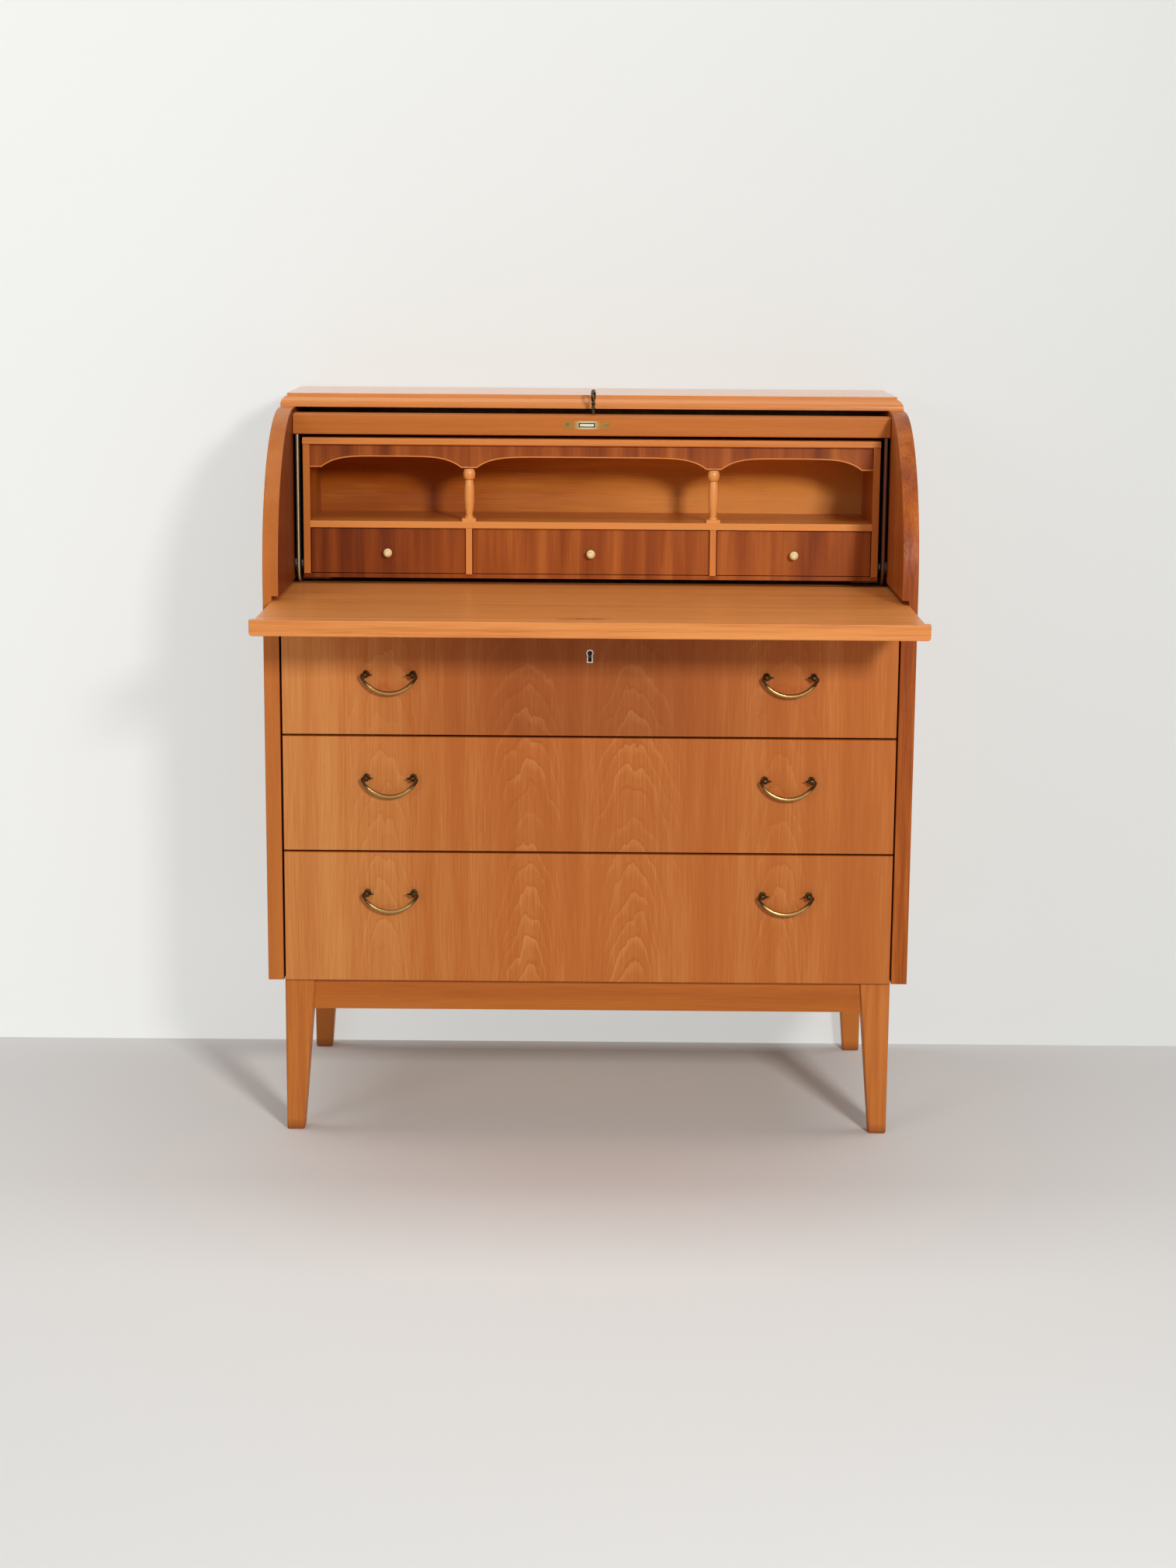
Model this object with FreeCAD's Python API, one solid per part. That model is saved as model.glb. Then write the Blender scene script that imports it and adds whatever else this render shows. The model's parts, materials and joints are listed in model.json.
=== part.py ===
import FreeCAD, Part
import math
import os

# Roll top secretary desk, in millimetres: +X to the right, the front faces -Y, +Z up from the floor.
# While it is modelled, y = 0 is the front plane of the case and z = 0 is the floor.

V = FreeCAD.Vector
X_AXIS = V(1, 0, 0)
Y_AXIS = V(0, 1, 0)
Z_AXIS = V(0, 0, 1)

# Case
CASE_WIDTH = 900.0
CASE_DEPTH = 455.0
SIDE_THICK = 22.0
TOP_THICK = 19.0
BOTTOM_THICK = 16.0
BACK_THICK = 5.0
BACK_REBATE = 10.0
FIT_GAP = 0.3
EDGE_SOFT = 1.2

# Moulded edge of the top board, as (inwards, upwards) steps from its lower corner
TOP_LOWER_FILLET = 2.5
TOP_OVOLO_IN = 8.3
TOP_OVOLO_UP = 12.6
TOP_STEP = 0.8

# Drawer fronts, from the bottom of the case upwards
LOWER_FRONT = 184.5
MIDDLE_FRONT = 161.5
UPPER_FRONT = 142.0
FRONT_GAP = 3.0
FRONT_SIDE_GAP = 2.5
FRONT_THICK = 20.0
FRONT_SOFT = 0.8

# Drawer boxes and their runners
BOX_RISE = 3.0
BOX_DROP = 22.0
BOX_BACK_ROOM = 30.0
BOX_SIDE_GAP = 3.0
BOX_SIDE = 14.0
BOX_BACK = 12.0
BOX_PLY = 5.0
BOX_PLY_RISE = 6.0
BOX_GROOVE = 5.0
RUNNER_HEIGHT = 15.0
RUNNER_DEPTH = 10.0
RUNNER_SLACK = 0.7

# Writing rail, writing board and its front strip
RAIL_THICK = 17.0
RAIL_DEPTH = 70.0
BOARD_GAP = 2.0
STRIP_HEIGHT = 21.0
STRIP_DEPTH = 14.0
STRIP_INSET = 5.5
STRIP_SOFT = 4.5
BOARD_THICK = 19.0
BOARD_BACK_ROOM = 26.0
BOARD_OUT = 187.0
BOARD_TONGUE = 9.5
GROOVE_SLACK = 0.5
GROOVE_HEADROOM = 6.5
STOP_PIN_RADIUS = 4.0
STOP_PIN_DROP = 12.0
STOP_PIN_X = 300.0

# Roll: its pivot stands midway between the case's front and the back panel
ROLL_GAP = 1.5
ROLL_OFFSET = 25.0
ROLL_CLEAR = 7.0
ROLL_SIDE_GAP = 1.0
PANEL_THICK = 14.0
LOCK_RAIL_THICK = 28.0
LOCK_RAIL_LENGTH = 45.0
LOCK_RAIL_SOFT = 1.8
TAIL_ANGLE = 187.0
TAIL_RAIL_THICK = 7.0
TAIL_RAIL_LENGTH = 30.0
ARM_THICK = 4.5
ARM_SIDE_GAP = 4.5
ARM_END_ANGLE = 150.0
PIN_RADIUS = 5.0
PIN_RUNNING = 0.1
PIN_DEPTH = 12.0
PIN_HEAD_RADIUS = 8.0
PIN_HEAD_THICK = 2.0
PIN_SPACER_RADIUS = 11.0
PIN_PLAY = 0.2

# Roll lock, bolt and key
LOCK_X = -7.0
LOCK_PLATE_WIDTH = 66.0
LOCK_PLATE_HEIGHT = 11.5
LOCK_PLATE_THICK = 2.0
LOCK_PLATE_PROUD = 0.3
LOCK_CASE_WIDTH = 46.0
LOCK_CASE_HEIGHT = 16.0
LOCK_CASE_DEPTH = 32.0
LOCK_SCREW_X = 27.5
LOCK_SCREW_RADIUS = 3.1
LOCK_SCREW_LENGTH = 12.0
BOLT_WIDTH = 20.0
BOLT_THICK = 3.5
BOLT_LENGTH = 13.0
BOLT_TRAVEL = 8.0
BOLT_CLEAR = 0.3
KEY_X = 2.0
KEY_BEHIND_FACE = 22.0
KEY_STEM = 2.4
KEY_HOLE_CLEAR = 0.3
KEY_STAND = 35.5
KEY_BOW_WIDTH = 19.0
KEY_BOW_HEIGHT = 17.0
KEY_BOW_RIM = 3.2
KEY_BOW_THICK = 3.0
KEY_COLLAR = 3.6
KEY_TURN = 76.0
KEY_BIT = 5.5
KEY_BIT_THICK = 2.2
STRIKE_WIDTH = 24.0
STRIKE_LENGTH = 6.0
STRIKE_DEPTH = 9.0

# Handles: two eye posts and a hanging bail
HANDLE_X = 276.5
HANDLE_DROP = 57.0
POST_SPACING = 65.0
POST_STAND = 11.0
EYE_RADIUS = 4.5
EYE_THICK = 5.5
EYE_SOFT = 1.4
NECK_RADIUS = 2.4
COLLAR_RADIUS = 5.0
COLLAR_THICK = 1.6
STUD_RADIUS = 2.0
STUD_CLEAR = 0.2
NUT_RADIUS = 4.6
NUT_THICK = 3.2
BAIL_PIN = 1.6
BAIL_PIN_CLEAR = 0.15
BAIL_ELBOW = 2.5
BAIL_DROP = 25.7
BAIL_MIDDLE = 3.1
BAIL_TIP = 4.0
BAIL_REACH_IN = 3.0
BAIL_RINGS = 13

# Drawer lock and its escutcheon
KEYHOLE_DROP = 26.0
KEYHOLE_RADIUS = 3.4
KEYHOLE_SLOT = 2.2
KEYHOLE_SLOT_FLARE = 0.4
KEYHOLE_HEIGHT = 15.4
ESCUTCHEON_RIM = 1.6
ESCUTCHEON_THICK = 2.0
ESCUTCHEON_PROUD = 0.3
DRAWER_LOCK_WIDTH = 50.0
DRAWER_LOCK_HEIGHT = 42.0
DRAWER_LOCK_DEPTH = 9.0
DRAWER_LOCK_LIP = 5.0
DRAWER_LOCK_PLATE = 2.0
DRAWER_BOLT_WIDTH = 18.0
DRAWER_BOLT_THICK = 3.5
DRAWER_BOLT_LENGTH = 24.0
DRAWER_BOLT_TRAVEL = 7.0

# Gallery of pigeonholes and small drawers
BEARER_THICK = 7.5
BEARER_WIDTH = 48.0
BEARER_LENGTH = 120.0
GALLERY_SIDE_GAP = 4.5
GALLERY_SET = 20.0
GALLERY_TOP_CLEAR = 5.0
GALLERY_BACK_ROOM = 12.6
GALLERY_SIDE = 10.0
GALLERY_TOP = 10.0
GALLERY_TOP_PROUD = 2.0
GALLERY_BOTTOM = 6.0
GALLERY_BOTTOM_SET = 2.0
GALLERY_SHELF = 10.0
GALLERY_BACK = 4.0
GALLERY_BEND = 84.0
GALLERY_SOFT = 1.0
DIVIDER_X = 176.0
DIVIDER_THICK = 9.4
APRON_THICK = 9.0
APRON_SET = 7.0
APRON_DEPTH = 32.0
APRON_RISE = 15.5
APRON_FLAT = 22.0
APRON_END_FLAT = 16.0
APRON_CURL = 20.0
COLUMN_SET = 11.5
PLINTH_WIDTH = 19.5
PLINTH_HEIGHT = 4.3
COLUMN_RING = 6.7
COLUMN_RING_HEIGHT = 3.6
COLUMN_NECK = 4.7
COLUMN_BELLY = 7.4
COLUMN_SHOULDER = 5.9
COLUMN_GROOVE = 4.2
COLUMN_BALL = 8.8
COLUMN_BALL_END = 7.0
COLUMN_BALL_HEIGHT = 14.6
COLUMN_TOP_NECK = 2.2
COLUMN_COVE = 1.0

# Small drawers in the gallery
SMALL_FRONT = 64.0
SMALL_GAP = 1.0
SMALL_SET = 2.0
SMALL_THICK = 12.0
SMALL_SIDE = 6.0
SMALL_PLY = 3.0
SMALL_DROP = 12.0
SMALL_BACK_ROOM = 6.0
KNOB_RADIUS = 6.3
KNOB_NECK = 3.4
KNOB_FOOT = 4.4
KNOB_STAND = 14.0
KNOB_STUD = 1.5
KNOB_STUD_LENGTH = 8.0
KNOB_DROP = 2.0

# Base: four tapered legs, four rails and the screws that hold it under the case
LEG_HEIGHT = 223.0
LEG_SIDE_SET = 22.5
LEG_FRONT_SET = 8.0
LEG_BACK_SET = 8.0
LEG_TOP = 42.5
LEG_FOOT = 25.0
LEG_SOFT = 3.0
BASE_RAIL_HEIGHT = 45.0
BASE_RAIL_THICK = 20.0
BASE_RAIL_SET = 5.0
SCREW_SHANK = 2.2
SCREW_HEAD = 4.0
SCREW_HEAD_HEIGHT = 3.0
SCREW_RECESS = 10.0
SCREW_BITE = 11.0
SCREW_CLEAR = 0.15
SCREW_X = 200.0

# Places that follow from the sizes above
half_width = CASE_WIDTH / 2
inner_half = half_width - SIDE_THICK
case_z = LEG_HEIGHT
lower_z = case_z
middle_z = lower_z + LOWER_FRONT + FRONT_GAP
upper_z = middle_z + MIDDLE_FRONT + FRONT_GAP
rail_z = upper_z + UPPER_FRONT + FRONT_GAP
strip_z = rail_z + RAIL_THICK + BOARD_GAP
board_top = strip_z + STRIP_HEIGHT
board_z = board_top - BOARD_THICK
body_half = inner_half + BOARD_TONGUE
strip_half = half_width - STRIP_INSET
back_y = CASE_DEPTH - BACK_THICK
box_length = back_y - BOX_BACK_ROOM - FRONT_THICK
board_length = back_y - BOARD_BACK_ROOM
side_arc = back_y / 2
pivot_y = side_arc
pivot_z = board_top + ROLL_GAP + ROLL_OFFSET
side_top = pivot_z + side_arc
roll_radius = side_arc - ROLL_CLEAR
panel_inner = roll_radius - PANEL_THICK
rail_inner = roll_radius - LOCK_RAIL_THICK
rail_face = pivot_y - ROLL_OFFSET
rail_back = rail_face + LOCK_RAIL_LENGTH
top_front = rail_back
roll_half = inner_half - ROLL_SIDE_GAP
lock_radius = roll_radius - LOCK_RAIL_THICK / 2
lock_z = pivot_z + lock_radius
key_y = rail_face + KEY_BEHIND_FACE
arm_outer = inner_half - ARM_SIDE_GAP
arm_inner = arm_outer - ARM_THICK
gallery_half = arm_inner - GALLERY_SIDE_GAP
gallery_inner = gallery_half - GALLERY_SIDE
gallery_y = pivot_y - GALLERY_SET
gallery_z = board_top + ROLL_GAP + BEARER_THICK
shelf_z = gallery_z + GALLERY_BOTTOM + SMALL_FRONT + 2 * SMALL_GAP
gallery_reach = rail_inner - GALLERY_TOP_CLEAR
gallery_top_z = pivot_z + math.sqrt(gallery_reach ** 2 - (GALLERY_SET + GALLERY_TOP_PROUD) ** 2)
gallery_under = gallery_top_z - GALLERY_TOP
bend_z = gallery_under - GALLERY_BEND
bend_reach = panel_inner - GALLERY_BACK_ROOM - GALLERY_BEND
bend_y = pivot_y + math.sqrt(bend_reach ** 2 - (bend_z - pivot_z) ** 2)
gallery_back_y = bend_y + GALLERY_BEND
apron_low = gallery_under - APRON_DEPTH
column_y = gallery_y + COLUMN_SET
origin_y = (CASE_DEPTH - BOARD_OUT - STRIP_DEPTH) / 2


def block(x0, x1, y0, y1, z0, z1):
    """A box between two corners."""
    return Part.makeBox(x1 - x0, y1 - y0, z1 - z0, V(x0, y0, z0))


def rod(start, direction, radius, length):
    """A round bar from a point along a direction."""
    return Part.makeCylinder(radius, length, start, direction)


def mirrored(shape):
    """The same piece on the other side of the desk's middle plane."""
    return shape.mirror(V(0, 0, 0), X_AXIS)


def line(start, end):
    return Part.LineSegment(start, end).toShape()


def arc(start, middle, end):
    return Part.Arc(start, middle, end).toShape()


def drawn_out(edges, direction):
    """A closed outline drawn out into a solid."""
    return Part.Face(Part.Wire(edges)).extrude(direction)


def ring_of_lines(points):
    """Straight edges round a list of points, closed."""
    return [line(a, b) for a, b in zip(points, points[1:] + points[:1])]


def softened(shape, radius, chosen):
    """The shape with the chosen edges rounded."""
    return shape.makeFillet(radius, [edge for edge in shape.Edges if chosen(edge.CenterOfMass)])


def polar(radius, angle, x=0.0):
    """A point about the roll's pivot: 0 degrees to the front, 90 up, 180 to the back."""
    turn = math.radians(angle)
    return V(x, pivot_y - radius * math.cos(turn), pivot_z + radius * math.sin(turn))


def angle_at(radius, y):
    """The angle about the pivot at which a circle stands above the depth y."""
    return math.degrees(math.acos((pivot_y - y) / radius))


def pivot_arc(radius, start, end, x):
    """An arc about the roll's pivot between two angles."""
    return arc(polar(radius, start, x), polar(radius, (start + end) / 2, x), polar(radius, end, x))


def right_side_panel():
    x = inner_half
    outline = [
        line(V(x, 0, case_z), V(x, CASE_DEPTH, case_z)),
        line(V(x, CASE_DEPTH, case_z), V(x, CASE_DEPTH, side_top)),
        line(V(x, CASE_DEPTH, side_top), V(x, pivot_y, side_top)),
        pivot_arc(side_arc, 90, 0, x),
        line(V(x, 0, pivot_z), V(x, 0, case_z)),
    ]
    panel = drawn_out(outline, V(SIDE_THICK, 0, 0))
    middle = x + SIDE_THICK / 2

    def rounded(c):
        return c.y < pivot_y / 2 and c.z > case_z + 1 and abs(c.x - middle) > 1

    panel = softened(panel, EDGE_SOFT, rounded)
    groove_depth = BOARD_TONGUE + GROOVE_SLACK
    groove = block(x - 1, x + groove_depth, -1, board_length + 1,
                   board_z - GROOVE_SLACK, board_top + GROOVE_HEADROOM)
    rebate = block(x - 1, x + BACK_REBATE, back_y, CASE_DEPTH + 1, case_z - 1, side_top + 1)
    pin_hole = rod(V(x - 1, pivot_y, pivot_z), X_AXIS, PIN_RADIUS + PIN_RUNNING, PIN_DEPTH + 1)
    return panel.cut(groove).cut(rebate).cut(pin_hole)


def moulding(place):
    """Edges of the top board's moulded edge; place turns (inwards, upwards) into a point."""
    step_in = TOP_OVOLO_IN + TOP_STEP
    step_up = TOP_LOWER_FILLET + TOP_OVOLO_UP
    radius = (TOP_OVOLO_IN ** 2 + TOP_OVOLO_UP ** 2) / (2 * TOP_OVOLO_IN)
    half_turn = math.asin(TOP_OVOLO_UP / radius) / 2
    bulge = place(radius - radius * math.cos(half_turn), TOP_LOWER_FILLET + radius * math.sin(half_turn))
    return [
        line(place(0, 0), place(0, TOP_LOWER_FILLET)),
        arc(place(0, TOP_LOWER_FILLET), bulge, place(TOP_OVOLO_IN, step_up)),
        line(place(TOP_OVOLO_IN, step_up), place(step_in, step_up)),
        line(place(step_in, step_up), place(step_in, TOP_THICK)),
    ]


def top_board():
    """The moulded front run and the moulded end runs meet in mitres where they cross."""
    inset = TOP_OVOLO_IN + TOP_STEP
    front = moulding(lambda inwards, up: V(-half_width, top_front + inwards, side_top + up))
    back_low = V(-half_width, CASE_DEPTH, side_top)
    back_high = V(-half_width, CASE_DEPTH, side_top + TOP_THICK)
    front.append(line(V(-half_width, top_front + inset, side_top + TOP_THICK), back_high))
    front.append(line(back_high, back_low))
    front.append(line(back_low, V(-half_width, top_front, side_top)))
    front_run = drawn_out(front, V(CASE_WIDTH, 0, 0))
    left = moulding(lambda inwards, up: V(inwards - half_width, top_front, side_top + up))
    right = moulding(lambda inwards, up: V(half_width - inwards, top_front, side_top + up))
    across_top = line(V(inset - half_width, top_front, side_top + TOP_THICK),
                      V(half_width - inset, top_front, side_top + TOP_THICK))
    across_bottom = line(V(half_width, top_front, side_top), V(-half_width, top_front, side_top))
    ends = left + [across_top] + right[::-1] + [across_bottom]
    end_runs = drawn_out(Part.__sortEdges__(ends), V(0, CASE_DEPTH - top_front, 0))
    return front_run.common(end_runs).Solids[0]


def drawer_runner(front_z, front_height):
    """The right-hand runner of a drawer."""
    z = runner_level(front_z, front_height)
    return block(inner_half - RUNNER_DEPTH, inner_half, FRONT_THICK + 1, FRONT_THICK + box_length,
                 z, z + RUNNER_HEIGHT)


def fronts():
    """Bottom and height of each drawer front."""
    return {
        "lower": (lower_z, LOWER_FRONT),
        "middle": (middle_z, MIDDLE_FRONT),
        "upper": (upper_z, UPPER_FRONT),
    }


def box_levels(front_z, front_height):
    """Bottom and top of a drawer's box."""
    return front_z + BOTTOM_THICK + BOX_RISE, front_z + front_height - BOX_DROP


def runner_level(front_z, front_height):
    low, high = box_levels(front_z, front_height)
    return (low + high - RUNNER_HEIGHT) / 2


def drawer_box(front_z, front_height):
    """Two grooved sides, a back and a plywood bottom that slides into the sides and the front."""
    low, high = box_levels(front_z, front_height)
    outer = inner_half - BOX_SIDE_GAP
    inner = outer - BOX_SIDE
    y0 = FRONT_THICK
    y1 = FRONT_THICK + box_length
    ply_z = low + BOX_PLY_RISE
    runner_z = runner_level(front_z, front_height)
    side = block(inner, outer, y0, y1, low, high)
    runner_face = inner_half - RUNNER_DEPTH - RUNNER_SLACK
    runner_top = runner_z + RUNNER_HEIGHT + FIT_GAP
    side = side.cut(block(runner_face, outer + 1, y0 - 1, y1 + 1, runner_z - RUNNER_SLACK, runner_top))
    side = side.cut(block(inner - 1, inner + BOX_GROOVE, y0 - 1, y1 + 1, ply_z, ply_z + BOX_PLY))
    back = block(-inner, inner, y1 - BOX_BACK, y1, ply_z + BOX_PLY, high)
    ply = block(-inner - BOX_GROOVE, inner + BOX_GROOVE, y0 - BOX_GROOVE, y1, ply_z, ply_z + BOX_PLY)
    return [side, mirrored(side), back, ply]


def post_places():
    """The x of each handle post on a drawer front."""
    return [side * HANDLE_X + end * POST_SPACING / 2 for side in (-1, 1) for end in (-1, 1)]


def drawer_front(front_z, front_height):
    half = inner_half - FRONT_SIDE_GAP
    front = block(-half, half, 0, FRONT_THICK, front_z, front_z + front_height)
    front = softened(front, FRONT_SOFT, lambda c: c.y < 1)
    handle_z = front_z + front_height - HANDLE_DROP
    for x in post_places():
        front = front.cut(rod(V(x, -1, handle_z), Y_AXIS, STUD_RADIUS + STUD_CLEAR, FRONT_THICK + 2))
    low, _ = box_levels(front_z, front_height)
    ply_half = inner_half - BOX_SIDE_GAP - BOX_SIDE + BOX_GROOVE
    ply_z = low + BOX_PLY_RISE
    groove = block(-ply_half, ply_half, FRONT_THICK - BOX_GROOVE, FRONT_THICK + 1, ply_z, ply_z + BOX_PLY)
    return front.cut(groove)


def keyhole(z, grow, y0, y1):
    """A keyhole's outline: a round head and a flared slot, grown by a rim."""
    head = rod(V(0, y0, z), Y_AXIS, KEYHOLE_RADIUS + grow, y1 - y0)
    low = z + KEYHOLE_RADIUS - KEYHOLE_HEIGHT - grow
    waist = KEYHOLE_SLOT + grow
    foot = waist + KEYHOLE_SLOT_FLARE
    slot = drawn_out(ring_of_lines([V(-waist, y0, z), V(waist, y0, z), V(foot, y0, low), V(-foot, y0, low)]),
                     V(0, y1 - y0, 0))
    return head.fuse(slot).removeSplitter()


def keyhole_level():
    return upper_z + UPPER_FRONT - KEYHOLE_DROP


def escutcheon():
    ring = keyhole(keyhole_level(), ESCUTCHEON_RIM, -ESCUTCHEON_PROUD, ESCUTCHEON_THICK)
    return ring.cut(keyhole(keyhole_level(), 0, -1, ESCUTCHEON_THICK + 1))


def drawer_lock_envelope(grow):
    """Lock case and its top plate, let into the back of the upper drawer's front."""
    top = upper_z + UPPER_FRONT
    half = DRAWER_LOCK_WIDTH / 2 + grow
    y0 = FRONT_THICK - DRAWER_LOCK_DEPTH - grow
    case = block(-half, half, y0, FRONT_THICK, top - DRAWER_LOCK_HEIGHT - grow, top)
    plate_half = half + DRAWER_LOCK_LIP
    plate = block(-plate_half, plate_half, y0, FRONT_THICK, top - DRAWER_LOCK_PLATE, top)
    return case.fuse(plate).removeSplitter()


def drawer_bolt(grow):
    """The bolt, drawn down flush with the lock's top plate."""
    half = DRAWER_BOLT_WIDTH / 2 + grow
    y = FRONT_THICK - DRAWER_LOCK_DEPTH / 2
    top = upper_z + UPPER_FRONT
    deep = DRAWER_BOLT_THICK / 2 + grow
    return block(-half, half, y - deep, y + deep, top - DRAWER_BOLT_LENGTH - grow, top)


def upper_drawer_front():
    front = drawer_front(upper_z, UPPER_FRONT)
    lock_y = FRONT_THICK - DRAWER_LOCK_DEPTH
    front = front.cut(drawer_lock_envelope(0))
    front = front.cut(keyhole(keyhole_level(), ESCUTCHEON_RIM, -1, ESCUTCHEON_THICK))
    return front.cut(keyhole(keyhole_level(), 0, -1, lock_y + 1))


def drawer_lock():
    lock = drawer_lock_envelope(0).cut(drawer_bolt(BOLT_CLEAR))
    top = upper_z + UPPER_FRONT
    open_top = drawer_bolt(BOLT_CLEAR)
    open_top.translate(V(0, 0, DRAWER_BOLT_TRAVEL))
    lock_y = FRONT_THICK - DRAWER_LOCK_DEPTH
    hole = keyhole(keyhole_level(), 0, lock_y - 1, lock_y + DRAWER_LOCK_DEPTH / 2)
    return lock.cut(open_top).cut(hole).common(block(-CASE_WIDTH, CASE_WIDTH, 0, CASE_DEPTH, 0, top))


def writing_rail():
    rail = block(-inner_half, inner_half, 0, RAIL_DEPTH, rail_z, rail_z + RAIL_THICK)
    rail = softened(rail, EDGE_SOFT, lambda c: c.y < 1 and abs(c.x) < 1)
    mortise = drawer_bolt(BOLT_CLEAR)
    mortise.translate(V(0, 0, DRAWER_BOLT_TRAVEL + BOLT_CLEAR))
    return rail.cut(mortise)


def handle_post(x, z):
    """An eye on a neck and collar, with a stud through the drawer front and a nut behind it."""
    eye = rod(V(x - EYE_THICK / 2, -POST_STAND, z), X_AXIS, EYE_RADIUS, EYE_THICK)
    eye = eye.makeFillet(EYE_SOFT, [edge for edge in eye.Edges if edge.Curve.TypeId == "Part::GeomCircle"])
    neck = rod(V(x, -POST_STAND, z), Y_AXIS, NECK_RADIUS, POST_STAND)
    collar = Part.makeCone(NECK_RADIUS, COLLAR_RADIUS, COLLAR_THICK, V(x, -COLLAR_THICK, z), Y_AXIS)
    stud = rod(V(x, -COLLAR_THICK, z), Y_AXIS, STUD_RADIUS, COLLAR_THICK + FRONT_THICK + NUT_THICK)
    corners = [V(x + NUT_RADIUS * math.cos(math.radians(60 * k)), FRONT_THICK,
                 z + NUT_RADIUS * math.sin(math.radians(60 * k))) for k in range(6)]
    nut = drawn_out(ring_of_lines(corners), V(0, NUT_THICK, 0))
    post = eye.fuse([neck, collar, stud, nut]).removeSplitter()
    hole = rod(V(x - EYE_THICK, -POST_STAND, z), X_AXIS, BAIL_PIN + BAIL_PIN_CLEAR, 2 * EYE_THICK)
    return post.cut(hole)


def handle_posts(front_z, front_height):
    z = front_z + front_height - HANDLE_DROP
    return [handle_post(x, z) for x in post_places()]


def bail(x, z):
    """A bail that thickens to the middle of its bow; its ends bend in through the post eyes."""
    y = -POST_STAND
    elbow_x = POST_SPACING / 2 + EYE_THICK / 2 + FIT_GAP
    elbow_drop = BAIL_DROP - BAIL_ELBOW
    bow = (elbow_x ** 2 + elbow_drop ** 2 - BAIL_ELBOW ** 2) / (2 * (elbow_drop - BAIL_ELBOW))
    bow_z = z - BAIL_DROP + bow
    end = math.degrees(math.asin(elbow_x / (bow - BAIL_ELBOW)))
    rings = []
    for k in range(BAIL_RINGS):
        share = 2 * k / (BAIL_RINGS - 1) - 1
        turn = share * end
        radius = BAIL_PIN + (BAIL_MIDDLE - BAIL_PIN) * (1 - share ** 2)
        ring = Part.Wire(Part.Circle(V(0, 0, 0), X_AXIS, radius).toShape())
        ring.rotate(V(0, 0, 0), Y_AXIS, -turn)
        lean = math.radians(turn)
        ring.translate(V(x + bow * math.sin(lean), y, bow_z - bow * math.cos(lean)))
        rings.append(ring)
    bowed = Part.makeLoft(rings, True, False)
    elbow = Part.Face(rings[-1]).revolve(V(x + elbow_x, y, z - BAIL_ELBOW), V(0, -1, 0), 180 - end)
    pin_end = POST_SPACING / 2 - EYE_THICK / 2 - BAIL_REACH_IN
    pin = rod(V(x + elbow_x, y, z), V(-1, 0, 0), BAIL_PIN, elbow_x - pin_end)
    tip = Part.makeCone(BAIL_PIN, BAIL_PIN / 4, BAIL_TIP, V(x + pin_end, y, z), V(-1, 0, 0))
    right_end = elbow.fuse([pin, tip])
    left_end = right_end.mirror(V(x, 0, 0), X_AXIS)
    return bowed.fuse([right_end, left_end]).removeSplitter()


def writing_board():
    """The board as it stands pulled out, with a slot for the roll's bolt and holes for its stops."""
    y0 = -BOARD_OUT
    board = block(-body_half, body_half, y0, y0 + board_length, board_z, board_top)
    strike_y = pivot_y - lock_radius - BOARD_OUT
    strike = block(LOCK_X - STRIKE_WIDTH / 2, LOCK_X + STRIKE_WIDTH / 2,
                   strike_y - STRIKE_LENGTH / 2, strike_y + STRIKE_LENGTH / 2,
                   board_top - STRIKE_DEPTH, board_top + 1)
    board = board.cut(strike)
    for pin in board_stop_pins():
        board = board.cut(pin)
    return board


def board_stop_pins():
    """Two dowels under the board that meet the back of the writing rail when it is fully out."""
    y = RAIL_DEPTH + STOP_PIN_RADIUS + FIT_GAP
    length = STOP_PIN_DROP + BOARD_THICK / 2
    z = board_z - STOP_PIN_DROP
    return [rod(V(x, y, z), Z_AXIS, STOP_PIN_RADIUS, length) for x in (-STOP_PIN_X, STOP_PIN_X)]


def board_front_strip():
    y1 = -BOARD_OUT
    strip = block(-strip_half, strip_half, y1 - STRIP_DEPTH, y1, strip_z, board_top)
    strip = softened(strip, STRIP_SOFT, lambda c: abs(c.x) > strip_half - 1 and c.z < strip_z + 1)
    return softened(strip, EDGE_SOFT, lambda c: abs(c.x) < 1 and c.y < y1 - 1)


def lock_rail():
    """The stout rail at the roll's leading edge, let out for the lock and bored for the key."""
    x = -roll_half
    outer = (angle_at(roll_radius, rail_face), angle_at(roll_radius, rail_back))
    inner = (angle_at(rail_inner, rail_face), angle_at(rail_inner, rail_back))
    outline = [
        pivot_arc(roll_radius, outer[0], outer[1], x),
        line(polar(roll_radius, outer[1], x), polar(rail_inner, inner[1], x)),
        pivot_arc(rail_inner, inner[1], inner[0], x),
        line(polar(rail_inner, inner[0], x), polar(roll_radius, outer[0], x)),
    ]
    rail = drawn_out(outline, V(2 * roll_half, 0, 0))
    rail = softened(rail, LOCK_RAIL_SOFT, lambda c: c.y < rail_face + 1 and abs(c.x) < 1)
    rail = rail.cut(roll_lock_envelope())
    key_hole = rod(V(KEY_X, key_y, lock_z), Z_AXIS, KEY_STEM + KEY_HOLE_CLEAR, LOCK_RAIL_THICK)
    rail = rail.cut(key_hole)
    for screw in lock_screws():
        rail = rail.cut(screw)
    return rail


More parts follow.
